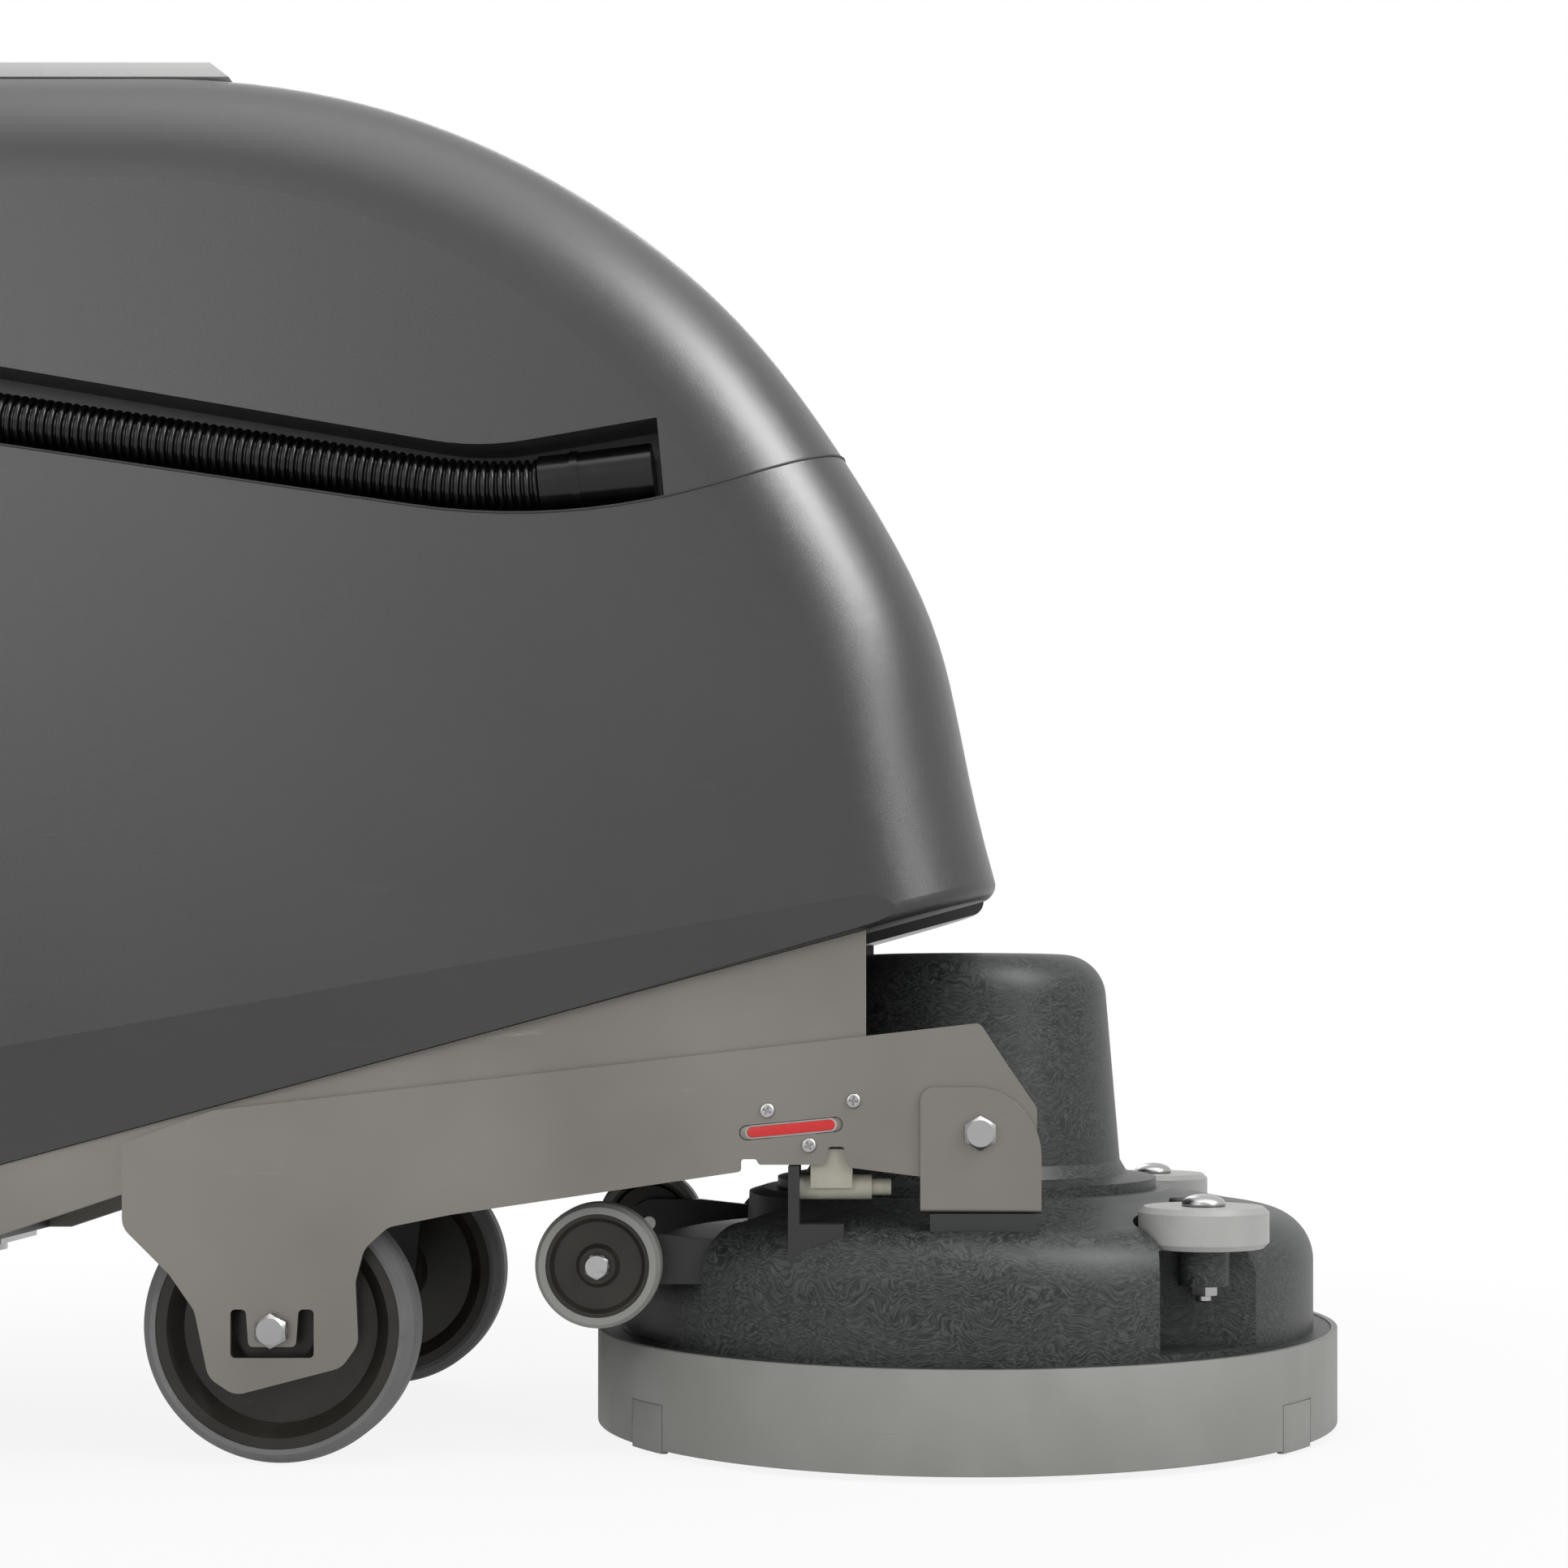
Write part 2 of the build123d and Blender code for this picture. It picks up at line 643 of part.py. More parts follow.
def make_chassis():
    rail_outline = [
        (RAIL_REAR, FLOOR_Z),
        (FLOOR_BREAK, FLOOR_Z),
        (RAIL_FRONT, tank_floor(RAIL_FRONT)),
        (RAIL_FRONT, rail_low(RAIL_FRONT)),
        (BEAM_X + BEAM_HALF + 20, rail_low(BEAM_X + BEAM_HALF + 20)),
        (BEAM_X - BEAM_HALF - 20, BEAM_TOP - BEAM_H - 10),
        (TRAY_FRONT, BEAM_TOP - BEAM_H - 30),
        (REAR_BEAM_X + REAR_BEAM_HALF + 20, REAR_BEAM_Z),
        (REAR_BEAM_X - REAR_BEAM_HALF - 10, REAR_BEAM_Z),
        (RAIL_REAR, FLOOR_Z - 40),
    ]
    add("chassis_rails", *both_sides(side_plate(rail_outline, RAIL_IN, RAIL_OUT)))

    axle_beam = square_tube(
        BEAM_X - BEAM_HALF, BEAM_X + BEAM_HALF, BEAM_TOP - BEAM_H, BEAM_TOP, RAIL_IN
    )
    front_top = tank_floor(FRONT_BEAM_X - FRONT_BEAM_HALF)
    front_beam = square_tube(
        FRONT_BEAM_X - FRONT_BEAM_HALF,
        FRONT_BEAM_X + FRONT_BEAM_HALF,
        front_top - FRONT_BEAM_H,
        front_top,
        RAIL_IN,
    )
    rear_beam = square_tube(
        REAR_BEAM_X - REAR_BEAM_HALF,
        REAR_BEAM_X + REAR_BEAM_HALF,
        REAR_BEAM_Z,
        TRAY_TOP - TRAY_T,
        RAIL_IN,
    )
    add("chassis_crossmembers", axle_beam, front_beam, rear_beam)

    tray = box(RAIL_REAR, TRAY_FRONT, -RAIL_IN, RAIL_IN, TRAY_TOP - TRAY_T, TRAY_TOP)
    lip = box(TRAY_FRONT - TRAY_T, TRAY_FRONT, -BAY_HALF, BAY_HALF, TRAY_TOP, TRAY_TOP + TRAY_LIP)
    add("battery_tray", tray + lip)

    length = (BAY_FRONT - BAY_REAR - BATTERY_PLAY) / 2
    height = BAY_ROOF - TRAY_TOP - BATTERY_PLAY
    batteries = []
    for row in (0, 1):
        for side in (-1, 1):
            x0 = BAY_REAR + 10 + row * (length + 5)
            y0 = -BAY_HALF + 8 if side < 0 else 4
            y1 = -4 if side < 0 else BAY_HALF - 8
            case = box(x0, x0 + length, y0, y1, TRAY_TOP, TRAY_TOP + height)
            middle_y = (y0 + y1) / 2
            for end in (0.15, 0.85):
                terminal = post(x0 + length * end, middle_y, 8, TRAY_TOP + height, TRAY_TOP + height + 14)
                case += terminal
            batteries.append(case)
    add("batteries", *batteries)

    hanger = side_plate(
        [
            (AXLE_X - HANGER_HALF, BEAM_TOP - BEAM_H),
            (AXLE_X + HANGER_HALF, BEAM_TOP - BEAM_H),
            (AXLE_X + HANGER_HALF * 0.6, AXLE_Z - 22),
            (AXLE_X - HANGER_HALF * 0.6, AXLE_Z - 22),
        ],
        HANGER_IN,
        HANGER_OUT,
    )
    hanger -= cross_rod(AXLE_X, AXLE_Z, AXLE_R, HANGER_IN, HANGER_OUT)
    add("axle_hangers", *both_sides(hanger))

    axle = cross_rod(AXLE_X, AXLE_Z, AXLE_R, -RAIL_OUT, RAIL_OUT)
    axle += cross_rod(AXLE_X, AXLE_Z, STUB_R, -ARM_OUT - SEAM, ARM_OUT + SEAM)
    add("main_axle", axle)
    head = hex_head(AXLE_X, AXLE_Z, ARM_OUT + SEAM, ARM_OUT + SEAM + BOLT_HEAD)
    add("axle_bolts", *both_sides(head))


make_chassis()


# Main wheels


def make_wheel(name, y_sign):
    half = WHEEL_W / 2
    rim = WHEEL_R - TYRE_DEPTH
    bore = AXLE_R + RUN
    hub = [
        (bore, -half),
        (bore + 16, -half),
        (bore + 20, -half + 8),
        (rim - 18, -half + 13),
        (rim - 8, -half + 2),
        (rim, -half + 2),
        (rim, half - 2),
        (rim - 8, half - 2),
        (rim - 18, half - 13),
        (bore + 20, half - 8),
        (bore + 16, half),
        (bore, half),
    ]
    tread = 8
    tyre = [
        (rim, -half + 1),
        (WHEEL_R - tread, -half),
        (WHEEL_R - 2, -half + tread),
        (WHEEL_R, -half + tread * 1.6),
        (WHEEL_R, half - tread * 1.6),
        (WHEEL_R - 2, half - tread),
        (WHEEL_R - tread, half),
        (rim, half - 1),
    ]
    y = y_sign * (WHEEL_IN + half)
    add(f"{name}_wheel_hub", wheel_turned(hub, AXLE_X, y, AXLE_Z))
    add(f"{name}_wheel_tyre", wheel_turned(tyre, AXLE_X, y, AXLE_Z))


make_wheel("right", -1)
make_wheel("left", 1)


# Side arms: steel plates that swing on the axle stubs and carry the deck


def arm_plate():
    rear_x = AXLE_X - 108
    outline = [
        (rear_x, tank_floor(rear_x) - 9),
        (AXLE_X - 42, arm_top(AXLE_X - 42)),
        (HINGE_X, arm_top(HINGE_X)),
        (HINGE_X + 21, arm_top(HINGE_X) - 32),
        (HINGE_X + 41, HINGE_Z + 18),
        (HINGE_X + 41, HINGE_Z - 12),
        (HINGE_X + 22, HINGE_Z - 34),
        (HINGE_X - 39, HINGE_Z - 32),
        (SLOT_X + 42, SLOT_Z - 28),
        (SLOT_X + 38, SLOT_Z - 13),
        (SLOT_X + 27, SLOT_Z - 13),
        (SLOT_X + 25, SLOT_Z - 26),
        (SLOT_X - 23, SLOT_Z - 26),
        (SLOT_X - 25, SLOT_Z - 22),
        (SLOT_X - 36, SLOT_Z - 22),
        (SLOT_X - 36, SLOT_Z - 31),
        (AXLE_X + 128, AXLE_Z + 83),
        (AXLE_X + 83, AXLE_Z + 74),
        (AXLE_X + 66, AXLE_Z + 58),
        (AXLE_X + 60, AXLE_Z + 35),
        (AXLE_X + 62, AXLE_Z - 10),
        (AXLE_X + 50, AXLE_Z - 27),
        (AXLE_X - 27, AXLE_Z - 47),
        (AXLE_X - 46, AXLE_Z - 34),
        (AXLE_X - 56, AXLE_Z + 14),
        (AXLE_X - 74, AXLE_Z + 40),
        (rear_x, AXLE_Z + 74),
    ]
    plate = side_plate(outline, ARM_IN, ARM_OUT)

    def on_lug(edge):
        middle = edge.center()
        return middle.X < AXLE_X + 90 and middle.Z < AXLE_Z + 80

    def near_slot(edge):
        middle = edge.center()
        return abs(middle.X - SLOT_X) < 60 and middle.Z < SLOT_Z

    upright = plate.edges().filter_by(Axis.Y)
    plate = fillet(upright.filter_by(on_lug), LUG_ROUND)
    upright = plate.edges().filter_by(Axis.Y)
    plate = fillet(upright.filter_by(near_slot), NOTCH_ROUND)
    upright = plate.edges().filter_by(Axis.Y)
    sharp = [edge for edge in upright if not on_lug(edge) and not near_slot(edge)]
    plate = fillet([edge for edge in sharp if edge.center().Z > SLOT_Z - 40], ARM_ROUND)
    slot = Pos(SLOT_X, SLOT_Z) * Rot(0, 0, SLOT_ANGLE) * SlotOverall(SLOT_L, SLOT_H)
    plate -= side_solid(slot, ARM_IN, ARM_OUT)
    trough = [(-30, 15), (-19, 15), (-17, -12), (17, -12), (19, 15), (30, 15), (30, -20), (-30, -20)]
    trough = Polygon(*trough, align=None)
    trough = fillet(trough.vertices(), TROUGH_ROUND)
    plate -= side_solid(Pos(AXLE_X, AXLE_Z) * trough, ARM_IN, ARM_OUT)
    plate -= cross_rod(AXLE_X, AXLE_Z, STUB_R + RUN, ARM_IN, ARM_OUT)
    plate -= cross_rod(HINGE_X, HINGE_Z, HINGE_R + RUN, ARM_IN, ARM_OUT)
    return plate


def make_arms():
    add("lift_arms", *both_sides(arm_plate()))
    tube = cross_rod(ARM_TUBE_X, ARM_TUBE_Z, ARM_TUBE_R, -ARM_IN, ARM_IN)
    inside = cross_rod(ARM_TUBE_X, ARM_TUBE_Z, ARM_TUBE_R - ARM_TUBE_WALL, -ARM_IN, ARM_IN)
    add("arm_cross_tube", tube - inside)
    strip = Pos(SLOT_X, SLOT_Z) * Rot(0, 0, SLOT_ANGLE) * SlotOverall(SLOT_L, SLOT_H)
    add("slot_strips", *both_sides(side_solid(strip, ARM_IN, ARM_OUT - STRIP_SINK)))
    screws = []
    for x, z in SCREW_SPOTS:
        head = cross_rod(SLOT_X + x, SLOT_Z + z, SCREW_R, ARM_OUT, ARM_OUT + SCREW_H)
        outer = head.edges().filter_by(GeomType.CIRCLE).sort_by(Axis.Y)[-1]
        screws += both_sides(fillet(outer, SCREW_H * 0.6))
    add("arm_screws", *screws)


make_arms()


# Deck


def side_box(x0, x1, y0, y1, z0, z1, side):
    """A box on the left (side 1) or right (side -1), with y counted outwards."""
    y_low, y_high = sorted((side * y0, side * y1))
    return box(x0, x1, y_low, y_high, z0, z1)


def rounded_corner(radius, top, inset):
    """The quarter round between the housing's wall and its top, set back by inset."""
    bend = SHELL_ROUND - inset
    centre_r = radius - SHELL_ROUND
    centre_z = top - SHELL_ROUND
    diagonal = math.sqrt(0.5)
    return ThreePointArc(
        (centre_r + bend, centre_z),
        (centre_r + bend * diagonal, centre_z + bend * diagonal),
        (centre_r, centre_z + bend),
    )


def shell_form(inset, low, half_angle):
    """The drum with its lower rear sector, its skin set back by inset."""
    corner = rounded_corner(SHELL_R, DRUM_TOP, inset)
    drum = closed_face(
        Polyline((0, low), (SHELL_R - inset, low), corner @ 0),
        corner,
        Polyline(
            corner @ 1,
            (PEDESTAL_FOOT - inset, DRUM_CREST - inset),
            (PEDESTAL_R - inset, PEDESTAL_TOP - inset),
            (0, PEDESTAL_TOP - inset),
            (0, low),
        ),
    )
    step = rounded_corner(REAR_R, SHELL_TOP, inset)
    above = PEDESTAL_TOP + CUT_MARGIN
    outside = SHELL_R + CUT_MARGIN
    foot = SKIRT_TOP - inset
    rear = closed_face(
        Polyline((outside, foot), (REAR_R - inset, foot), step @ 0),
        step,
        Polyline(
            step @ 1,
            (PEDESTAL_FOOT - inset, SHELL_TOP - inset),
            (PEDESTAL_R + SHELL_T - inset, above),
            (outside, above),
            (outside, foot),
        ),
    )
    rear = revolve(Plane.XZ * rear, Axis.Z, revolution_arc=360 - 2 * half_angle)
    return revolve(Plane.XZ * drum, Axis.Z) - Rot(0, 0, half_angle) * rear


def make_deck_shell(form):
    end_wall = math.degrees(SHELL_T / PEDESTAL_FOOT)
    hollow = shell_form(SHELL_T, SHELL_FLANGE - OVERCUT, DRUM_HALF - end_wall)

    # A pocket for each bumper roller, and an open corner under it for its lug
    lug_x = ROLLER_X - DECK_X
    lug_top = ROLLER_Z - ROLLER_H / 2 - SEAM
    room = ROLLER_R + ROLLER_PLAY
    corner_x = POCKET_X - DECK_X
    corner_low = SKIRT_TOP + POCKET_LOW
    far = SKIRT_R + SHELL_T
    pockets = []
    for side in (-1, 1):
        lug_y = side * ROLLER_Y
        hollow -= post(lug_x, lug_y, room + SHELL_T, lug_top - SHELL_T, PEDESTAL_TOP)
        hollow -= side_box(
            corner_x - SHELL_T, far, POCKET_Y - SHELL_T, far, corner_low - SHELL_T, lug_top + OVERCUT, side
        )
        corner = side_box(corner_x, far, POCKET_Y, far, corner_low, lug_top + OVERCUT, side)
        pockets.append(corner + post(lug_x, lug_y, room, lug_top, PEDESTAL_TOP + OVERCUT))

    shell = form + post(0, 0, SKIRT_R - SKIRT_T - SEAM, SHELL_FLANGE, SKIRT_TOP - 1)
    shell -= hollow
    shell -= post(0, 0, SHAFT_R + 2, SHELL_FLANGE, PEDESTAL_TOP)
    for pocket in pockets:
        shell -= pocket
    for side in (-1, 1):
        shell += post(lug_x, side * ROLLER_Y, BOSS_R, BOSS_LOW, lug_top)
        shell -= post(lug_x, side * ROLLER_Y, ROLLER_BOLT_R, BOSS_LOW, lug_top)
    return shell


def make_skirt():
    inner = SKIRT_R - SKIRT_T
    foot = SKIRT_LOW - TAB_DROP
    ring = turned([(inner, SKIRT_LOW), (SKIRT_R, SKIRT_LOW), (SKIRT_R, SKIRT_TOP), (inner, SKIRT_TOP)])
    tall = turned([(inner, foot), (SKIRT_R, foot), (SKIRT_R, SKIRT_TOP), (inner, SKIRT_TOP)])
    half = TAB_W / 2
    high = SKIRT_LOW + TAB_H
    for angle in TAB_ANGLES:
        turn = Rot(0, 0, angle)
        ring += tall & turn * box(inner - SKIRT_T, SKIRT_R + SKIRT_T, -half, half, foot, high)
        line = box(SKIRT_R - SKIRT_T, SKIRT_R + SKIRT_T, -half, half, foot, high)
        line -= box(0, SKIRT_R + SKIRT_T, TAB_LINE - half, half - TAB_LINE, foot, high - TAB_LINE)
        line -= post(0, 0, SKIRT_R - TAB_LINE, foot, high)
        ring -= turn * line
    return Pos(DECK_X, 0, 0) * ring


def make_motor():
    flange_top = PEDESTAL_TOP + FLANGE_T
    cover = turned(
        [
            (0, PEDESTAL_TOP),
            (FLANGE_R, PEDESTAL_TOP),
            (FLANGE_R, flange_top),
            (COVER_R + 6, flange_top + 4),
            (COVER_R, flange_top + 14),
            (COVER_TOP_R, COVER_TOP),
            (0, COVER_TOP),
        ]
    )
    top_edge = cover.edges().filter_by(GeomType.CIRCLE).group_by(Axis.Z)[-1]
    cover = fillet(top_edge, COVER_ROUND)
    room = MOTOR_R + COVER_T
    cover -= post(0, 0, room, PEDESTAL_TOP, COVER_TOP - COVER_ROUND)
    add("motor_cover", Pos(DECK_X, 0, 0) * cover)

    shaft_low = PAD_T + BRISTLE_L + BACKING_T + DRIVER_T
    can = post(0, 0, MOTOR_R, PEDESTAL_TOP, MOTOR_TOP)
    rear_cap = post(0, 0, MOTOR_R * 0.6, MOTOR_TOP, MOTOR_TOP + 8)
    gear_shaft = post(0, 0, SHAFT_R, shaft_low, PEDESTAL_TOP)
    add("brush_motor", Pos(DECK_X, 0, 0) * (can + rear_cap + gear_shaft))


def bracket_plate():
    low = DRUM_TOP + PAD_BLOCK_T
    plate = side_plate(
        [
            (BRACKET_REAR, low),
            (BRACKET_FRONT, low),
            (BRACKET_FRONT, BRACKET_TOP),
            (BRACKET_REAR, BRACKET_TOP),
        ],
        BRACKET_IN,
        BRACKET_OUT,
    )
    corners = plate.edges().filter_by(Axis.Y).group_by(Axis.Z)[-1].sort_by(Axis.X)
    plate = fillet(corners[-1], BRACKET_ROUND)
    corners = plate.edges().filter_by(Axis.Y).group_by(Axis.Z)[-1].sort_by(Axis.X)
    plate = fillet(corners[0], 10)
    plate -= cross_rod(HINGE_X, HINGE_Z, HINGE_R, BRACKET_IN, BRACKET_OUT)
    foot = box(BRACKET_REAR, BRACKET_FRONT, BRACKET_IN - BRACKET_FOOT, BRACKET_IN, low, low + BRACKET_T)
    bent = plate + foot

    def outer_bend(edge):
        middle = edge.center()
        return abs(middle.Y - BRACKET_OUT) < 0.01 and abs(middle.Z - low) < 0.01

    return fillet(bent.edges().filter_by(outer_bend), BRACKET_BEND)


def make_deck():
    at_deck = Pos(DECK_X, 0, 0)
    form = shell_form(0, SHELL_FLANGE, DRUM_HALF)
    add("deck_housing", at_deck * make_deck_shell(form))
    form = at_deck * form
    add("deck_skirt", make_skirt())
    make_motor()

    add("deck_brackets", *both_sides(bracket_plate()))
    block = box(
        BRACKET_REAR + 7,
        BRACKET_FRONT - 4,
        BRACKET_IN - BRACKET_FOOT,
        BRACKET_OUT,
        DRUM_TOP - SHELL_ROUND,
        DRUM_TOP + PAD_BLOCK_T,
    )
    add("bracket_pads", *both_sides(block - form))
    stop = post(STOP_X, STOP_Y, STOP_R, DRUM_TOP - SHELL_ROUND, STOP_TOP)
    stop = fillet(stop.edges().filter_by(GeomType.CIRCLE).sort_by(Axis.Z)[-1], STOP_R / 3)
    add("stop_buffers", *both_sides(stop - form))

    bolt = cross_rod(HINGE_X, HINGE_Z, HINGE_R, ARM_IN, BRACKET_OUT)
    bolt += hex_head(HINGE_X, HINGE_Z, BRACKET_OUT, BRACKET_OUT + BOLT_HEAD)
    add("hinge_bolts", *both_sides(bolt))

    # Bumper rollers on upright bolts with domed heads
    half = ROLLER_H / 2
    bore = ROLLER_BOLT_R + RUN
    roller_section = [
        (bore, -half),
        (ROLLER_R - 4, -half),
        (ROLLER_R, -half + 4),
        (ROLLER_R, half - 4),
        (ROLLER_R - 4, half),
        (bore, half),
    ]
    roller = Pos(0, 0, ROLLER_Z) * turned(roller_section)
    add("right_bumper_roller", Pos(ROLLER_X, -ROLLER_Y, 0) * roller)
    add("left_bumper_roller", Pos(ROLLER_X, ROLLER_Y, 0) * roller)
    head_low = ROLLER_Z + half + SEAM
    upper_half = Pos(0, 0, DOME_R) * Box(4 * DOME_R, 4 * DOME_R, 2 * DOME_R)
    dome = Pos(0, 0, head_low) * (Sphere(DOME_R) & upper_half)
    shank = post(0, 0, ROLLER_BOLT_R, BOSS_LOW - 12, head_low)
    nut = Pos(0, 0, BOSS_LOW - 8) * extrude(RegularPolygon(9.5, 6, major_radius=False), 8)
    bolt = dome + shank + nut
    add("bumper_bolts", *both_sides(Pos(ROLLER_X, -ROLLER_Y, 0) * bolt))

    # Small wheels behind the deck, which it stands on when folded
    for name, side in (("right", -1), ("left", 1)):
        make_deck_wheel(name, side)
    add("deck_wheel_carriers", *both_sides(deck_wheel_carrier(form)))
    pin_out = DECK_WHEEL_Y + DECK_WHEEL_W / 2 + SEAM
    carrier_in = DECK_WHEEL_Y - DECK_WHEEL_W / 2 - SEAM - CARRIER_T
    pin = cross_rod(DECK_WHEEL_X, DECK_WHEEL_Z, DECK_WHEEL_PIN_R, carrier_in, pin_out)
    pin += hex_head(DECK_WHEEL_X, DECK_WHEEL_Z, pin_out, pin_out + 6, 17)
    add("deck_wheel_bolts", *both_sides(pin))

    # Water valve on its plate, on the drum's right side
    foot = DRUM_TOP - SHELL_ROUND
    rear = VALVE_X - VALVE_PLATE_REAR
    edge = VALVE_Y - VALVE_PLATE_HALF
    base = box(
        rear, rear + VALVE_PLATE_T, edge, VALVE_Y + VALVE_PLATE_HALF, foot, DRUM_TOP + VALVE_PLATE_H
    )
    base += box(rear, VALVE_X + VALVE_PLATE_FRONT, edge, -VALVE_FOOT_IN, foot, DRUM_TOP + VALVE_FOOT_T)
    add("valve_plate", base - form)
    valve_z = DRUM_TOP + VALVE_LIFT
    barrel = Pos(VALVE_X, VALVE_Y, valve_z) * Rot(0, 90, 0) * Cylinder(9, 52)
    spigot = Pos(VALVE_X + 26, VALVE_Y, valve_z) * Rot(0, 90, 0) * Cylinder(6, 28)
    coil = box(VALVE_X - 18, VALVE_X + 12, VALVE_Y - 13, VALVE_Y + 13, valve_z, valve_z + 28)
    add("solenoid_valve", barrel + spigot + coil)


def make_deck_wheel(name, side):
    half = DECK_WHEEL_W / 2
    rim = DECK_WHEEL_R - DECK_WHEEL_TYRE
    bore = DECK_WHEEL_PIN_R + RUN
    hub = [
        (bore, -half),
        (bore + 7, -half),
        (bore + 10, -half + 5),
        (rim - 6, -half + 5),
        (rim - 3, -half + 1),
        (rim, -half + 1),
        (rim, half - 1),
        (rim - 3, half - 1),
        (rim - 6, half - 5),
        (bore + 10, half - 5),
        (bore + 7, half),
        (bore, half),
    ]
    tyre = [
        (rim, -half),
        (DECK_WHEEL_R - 3, -half),
        (DECK_WHEEL_R, -half + 4),
        (DECK_WHEEL_R, half - 4),
        (DECK_WHEEL_R - 3, half),
        (rim, half),
    ]
    y = side * DECK_WHEEL_Y
    add(f"{name}_deck_wheel_hub", wheel_turned(hub, DECK_WHEEL_X, y, DECK_WHEEL_Z))
    add(f"{name}_deck_wheel_tyre", wheel_turned(tyre, DECK_WHEEL_X, y, DECK_WHEEL_Z))


def deck_wheel_carrier(form):
    """A plate from the back of the housing to the wheel's pin."""
    y_out = DECK_WHEEL_Y - DECK_WHEEL_W / 2 - SEAM
    y_in = y_out - CARRIER_T
    foot_x = DECK_X - math.sqrt(SHELL_R**2 - y_in**2)
    low = SKIRT_TOP + SKIRT_FLOAT + CARRIER_LOW
    plate = side_plate(
        [
            (DECK_WHEEL_X - CARRIER_EYE, DECK_WHEEL_Z - CARRIER_EYE),
            (DECK_WHEEL_X + CARRIER_EYE, low),
            (foot_x + SHELL_ROUND, low),
            (foot_x + SHELL_ROUND, SHELL_TOP + CARRIER_LOW),
            (foot_x - CARRIER_EYE, SHELL_TOP + CARRIER_EYE),
            (DECK_WHEEL_X, SHELL_TOP + CARRIER_EYE),
            (DECK_WHEEL_X - CARRIER_EYE, DECK_WHEEL_Z + CARRIER_EYE),
        ],
        y_in,
        y_out,
    )
    plate -= cross_rod(DECK_WHEEL_X, DECK_WHEEL_Z, DECK_WHEEL_PIN_R, y_in, y_out)
    return plate - form


make_deck()


# Pad drive


def make_pad_drive():
    pad = turned([(PAD_HOLE, 0), (PAD_R, 0), (PAD_R, PAD_T), (PAD_HOLE, PAD_T)], DECK_X)
    add("scrub_pad", pad)
    backing_z = PAD_T + BRISTLE_L
    driver_z = backing_z + BACKING_T
    backing = turned(
        [
            (PAD_HOLE, backing_z),
            (DRIVER_R, backing_z),
            (DRIVER_R, driver_z),
            (PAD_HOLE, driver_z),
        ],
        DECK_X,
    )
    strands = []
    for ring in BRISTLE_RINGS:
        count = int(2 * math.pi * ring / BRISTLE_STEP)
        for i in range(count):
            angle = 2 * math.pi * i / count
            x = DECK_X + ring * math.cos(angle)
            y = ring * math.sin(angle)
            half = BRISTLE_W / 2
            strands.append(box(x - half, x + half, y - half, y + half, PAD_T, backing_z + 1))
    add("driver_bristles", backing.fuse(*strands))
    print(f"bristles: {len(strands)}")

    driver_top = driver_z + DRIVER_T
    hub_top = driver_top + DRIVER_HUB_H
    driver = turned(
        [
            (SHAFT_R + RUN, driver_z + 4),
            (PAD_HOLE - 10, driver_z),
            (DRIVER_R, driver_z),
            (DRIVER_R, driver_top - 4),
            (DRIVER_HUB_R + 12, driver_top),
            (DRIVER_HUB_R, hub_top),
            (SHAFT_R + RUN, hub_top),
        ],
        DECK_X,
    )
    add("pad_driver", driver)


make_pad_drive()


# Casters at the back


def make_caster(name, side):
    y = side * CASTER_Y
    plate_low = REAR_BEAM_Z - CASTER_PLATE_T
    fork_top = plate_low - SEAM
    fork_low = fork_top - FORK_TOP
    wheel_x = CASTER_X - CASTER_TRAIL
    half = CASTER_W / 2
    leg_in = half + 1.5
    leg_out = leg_in + FORK_T

    crown = post(CASTER_X, y, FORK_R, fork_low, fork_top)
    crown -= post(CASTER_X, y, KING_R + RUN, fork_low, fork_top)
    leg_outline = [
        (CASTER_X - FORK_R + 8, fork_low + 2),
        (CASTER_X + FORK_R - 12, fork_low + 2),
        (wheel_x + 13, CASTER_R - 4),
        (wheel_x + 6, CASTER_R - 13),
        (wheel_x - 6, CASTER_R - 13),
        (wheel_x - 13, CASTER_R - 4),
    ]
    for inner, outer in ((leg_in, leg_out), (-leg_out, -leg_in)):
        leg = side_plate(leg_outline, y + inner, y + outer)
        crown += leg
    riveted_axle = cross_rod(wheel_x, CASTER_R, CASTER_PIN_R, y - leg_out, y + leg_out)
    add(f"{name}_caster_fork", crown + riveted_axle)

    bore = CASTER_PIN_R + RUN
    wheel = [
        (bore, -half),
        (bore + 9, -half),
        (bore + 12, -half + 4),
        (CASTER_R - 14, -half + 4),
        (CASTER_R - 10, -half),
        (CASTER_R - 3, -half),
        (CASTER_R, -half + 5),
        (CASTER_R, half - 5),
        (CASTER_R - 3, half),
        (CASTER_R - 10, half),
        (CASTER_R - 14, half - 4),
        (bore + 12, half - 4),
        (bore + 9, half),
        (bore, half),
    ]
    add(f"{name}_caster_wheel", wheel_turned(wheel, wheel_x, y, CASTER_R))
    plate_half = CASTER_PLATE / 2
    plate = box(
        CASTER_X - plate_half, CASTER_X + plate_half, y - plate_half, y + plate_half, plate_low, REAR_BEAM_Z
    )
    king = post(CASTER_X, y, KING_R, fork_low - 1, plate_low)
    nut = post(CASTER_X, y, KING_R + 4, fork_low - 5, fork_low - SEAM)
    return plate + king + nut


def make_casters():
    plates = [make_caster("right", -1), make_caster("left", 1)]
    add("caster_plates", *plates)


make_casters()


# Squeegee, carried on two links behind the casters


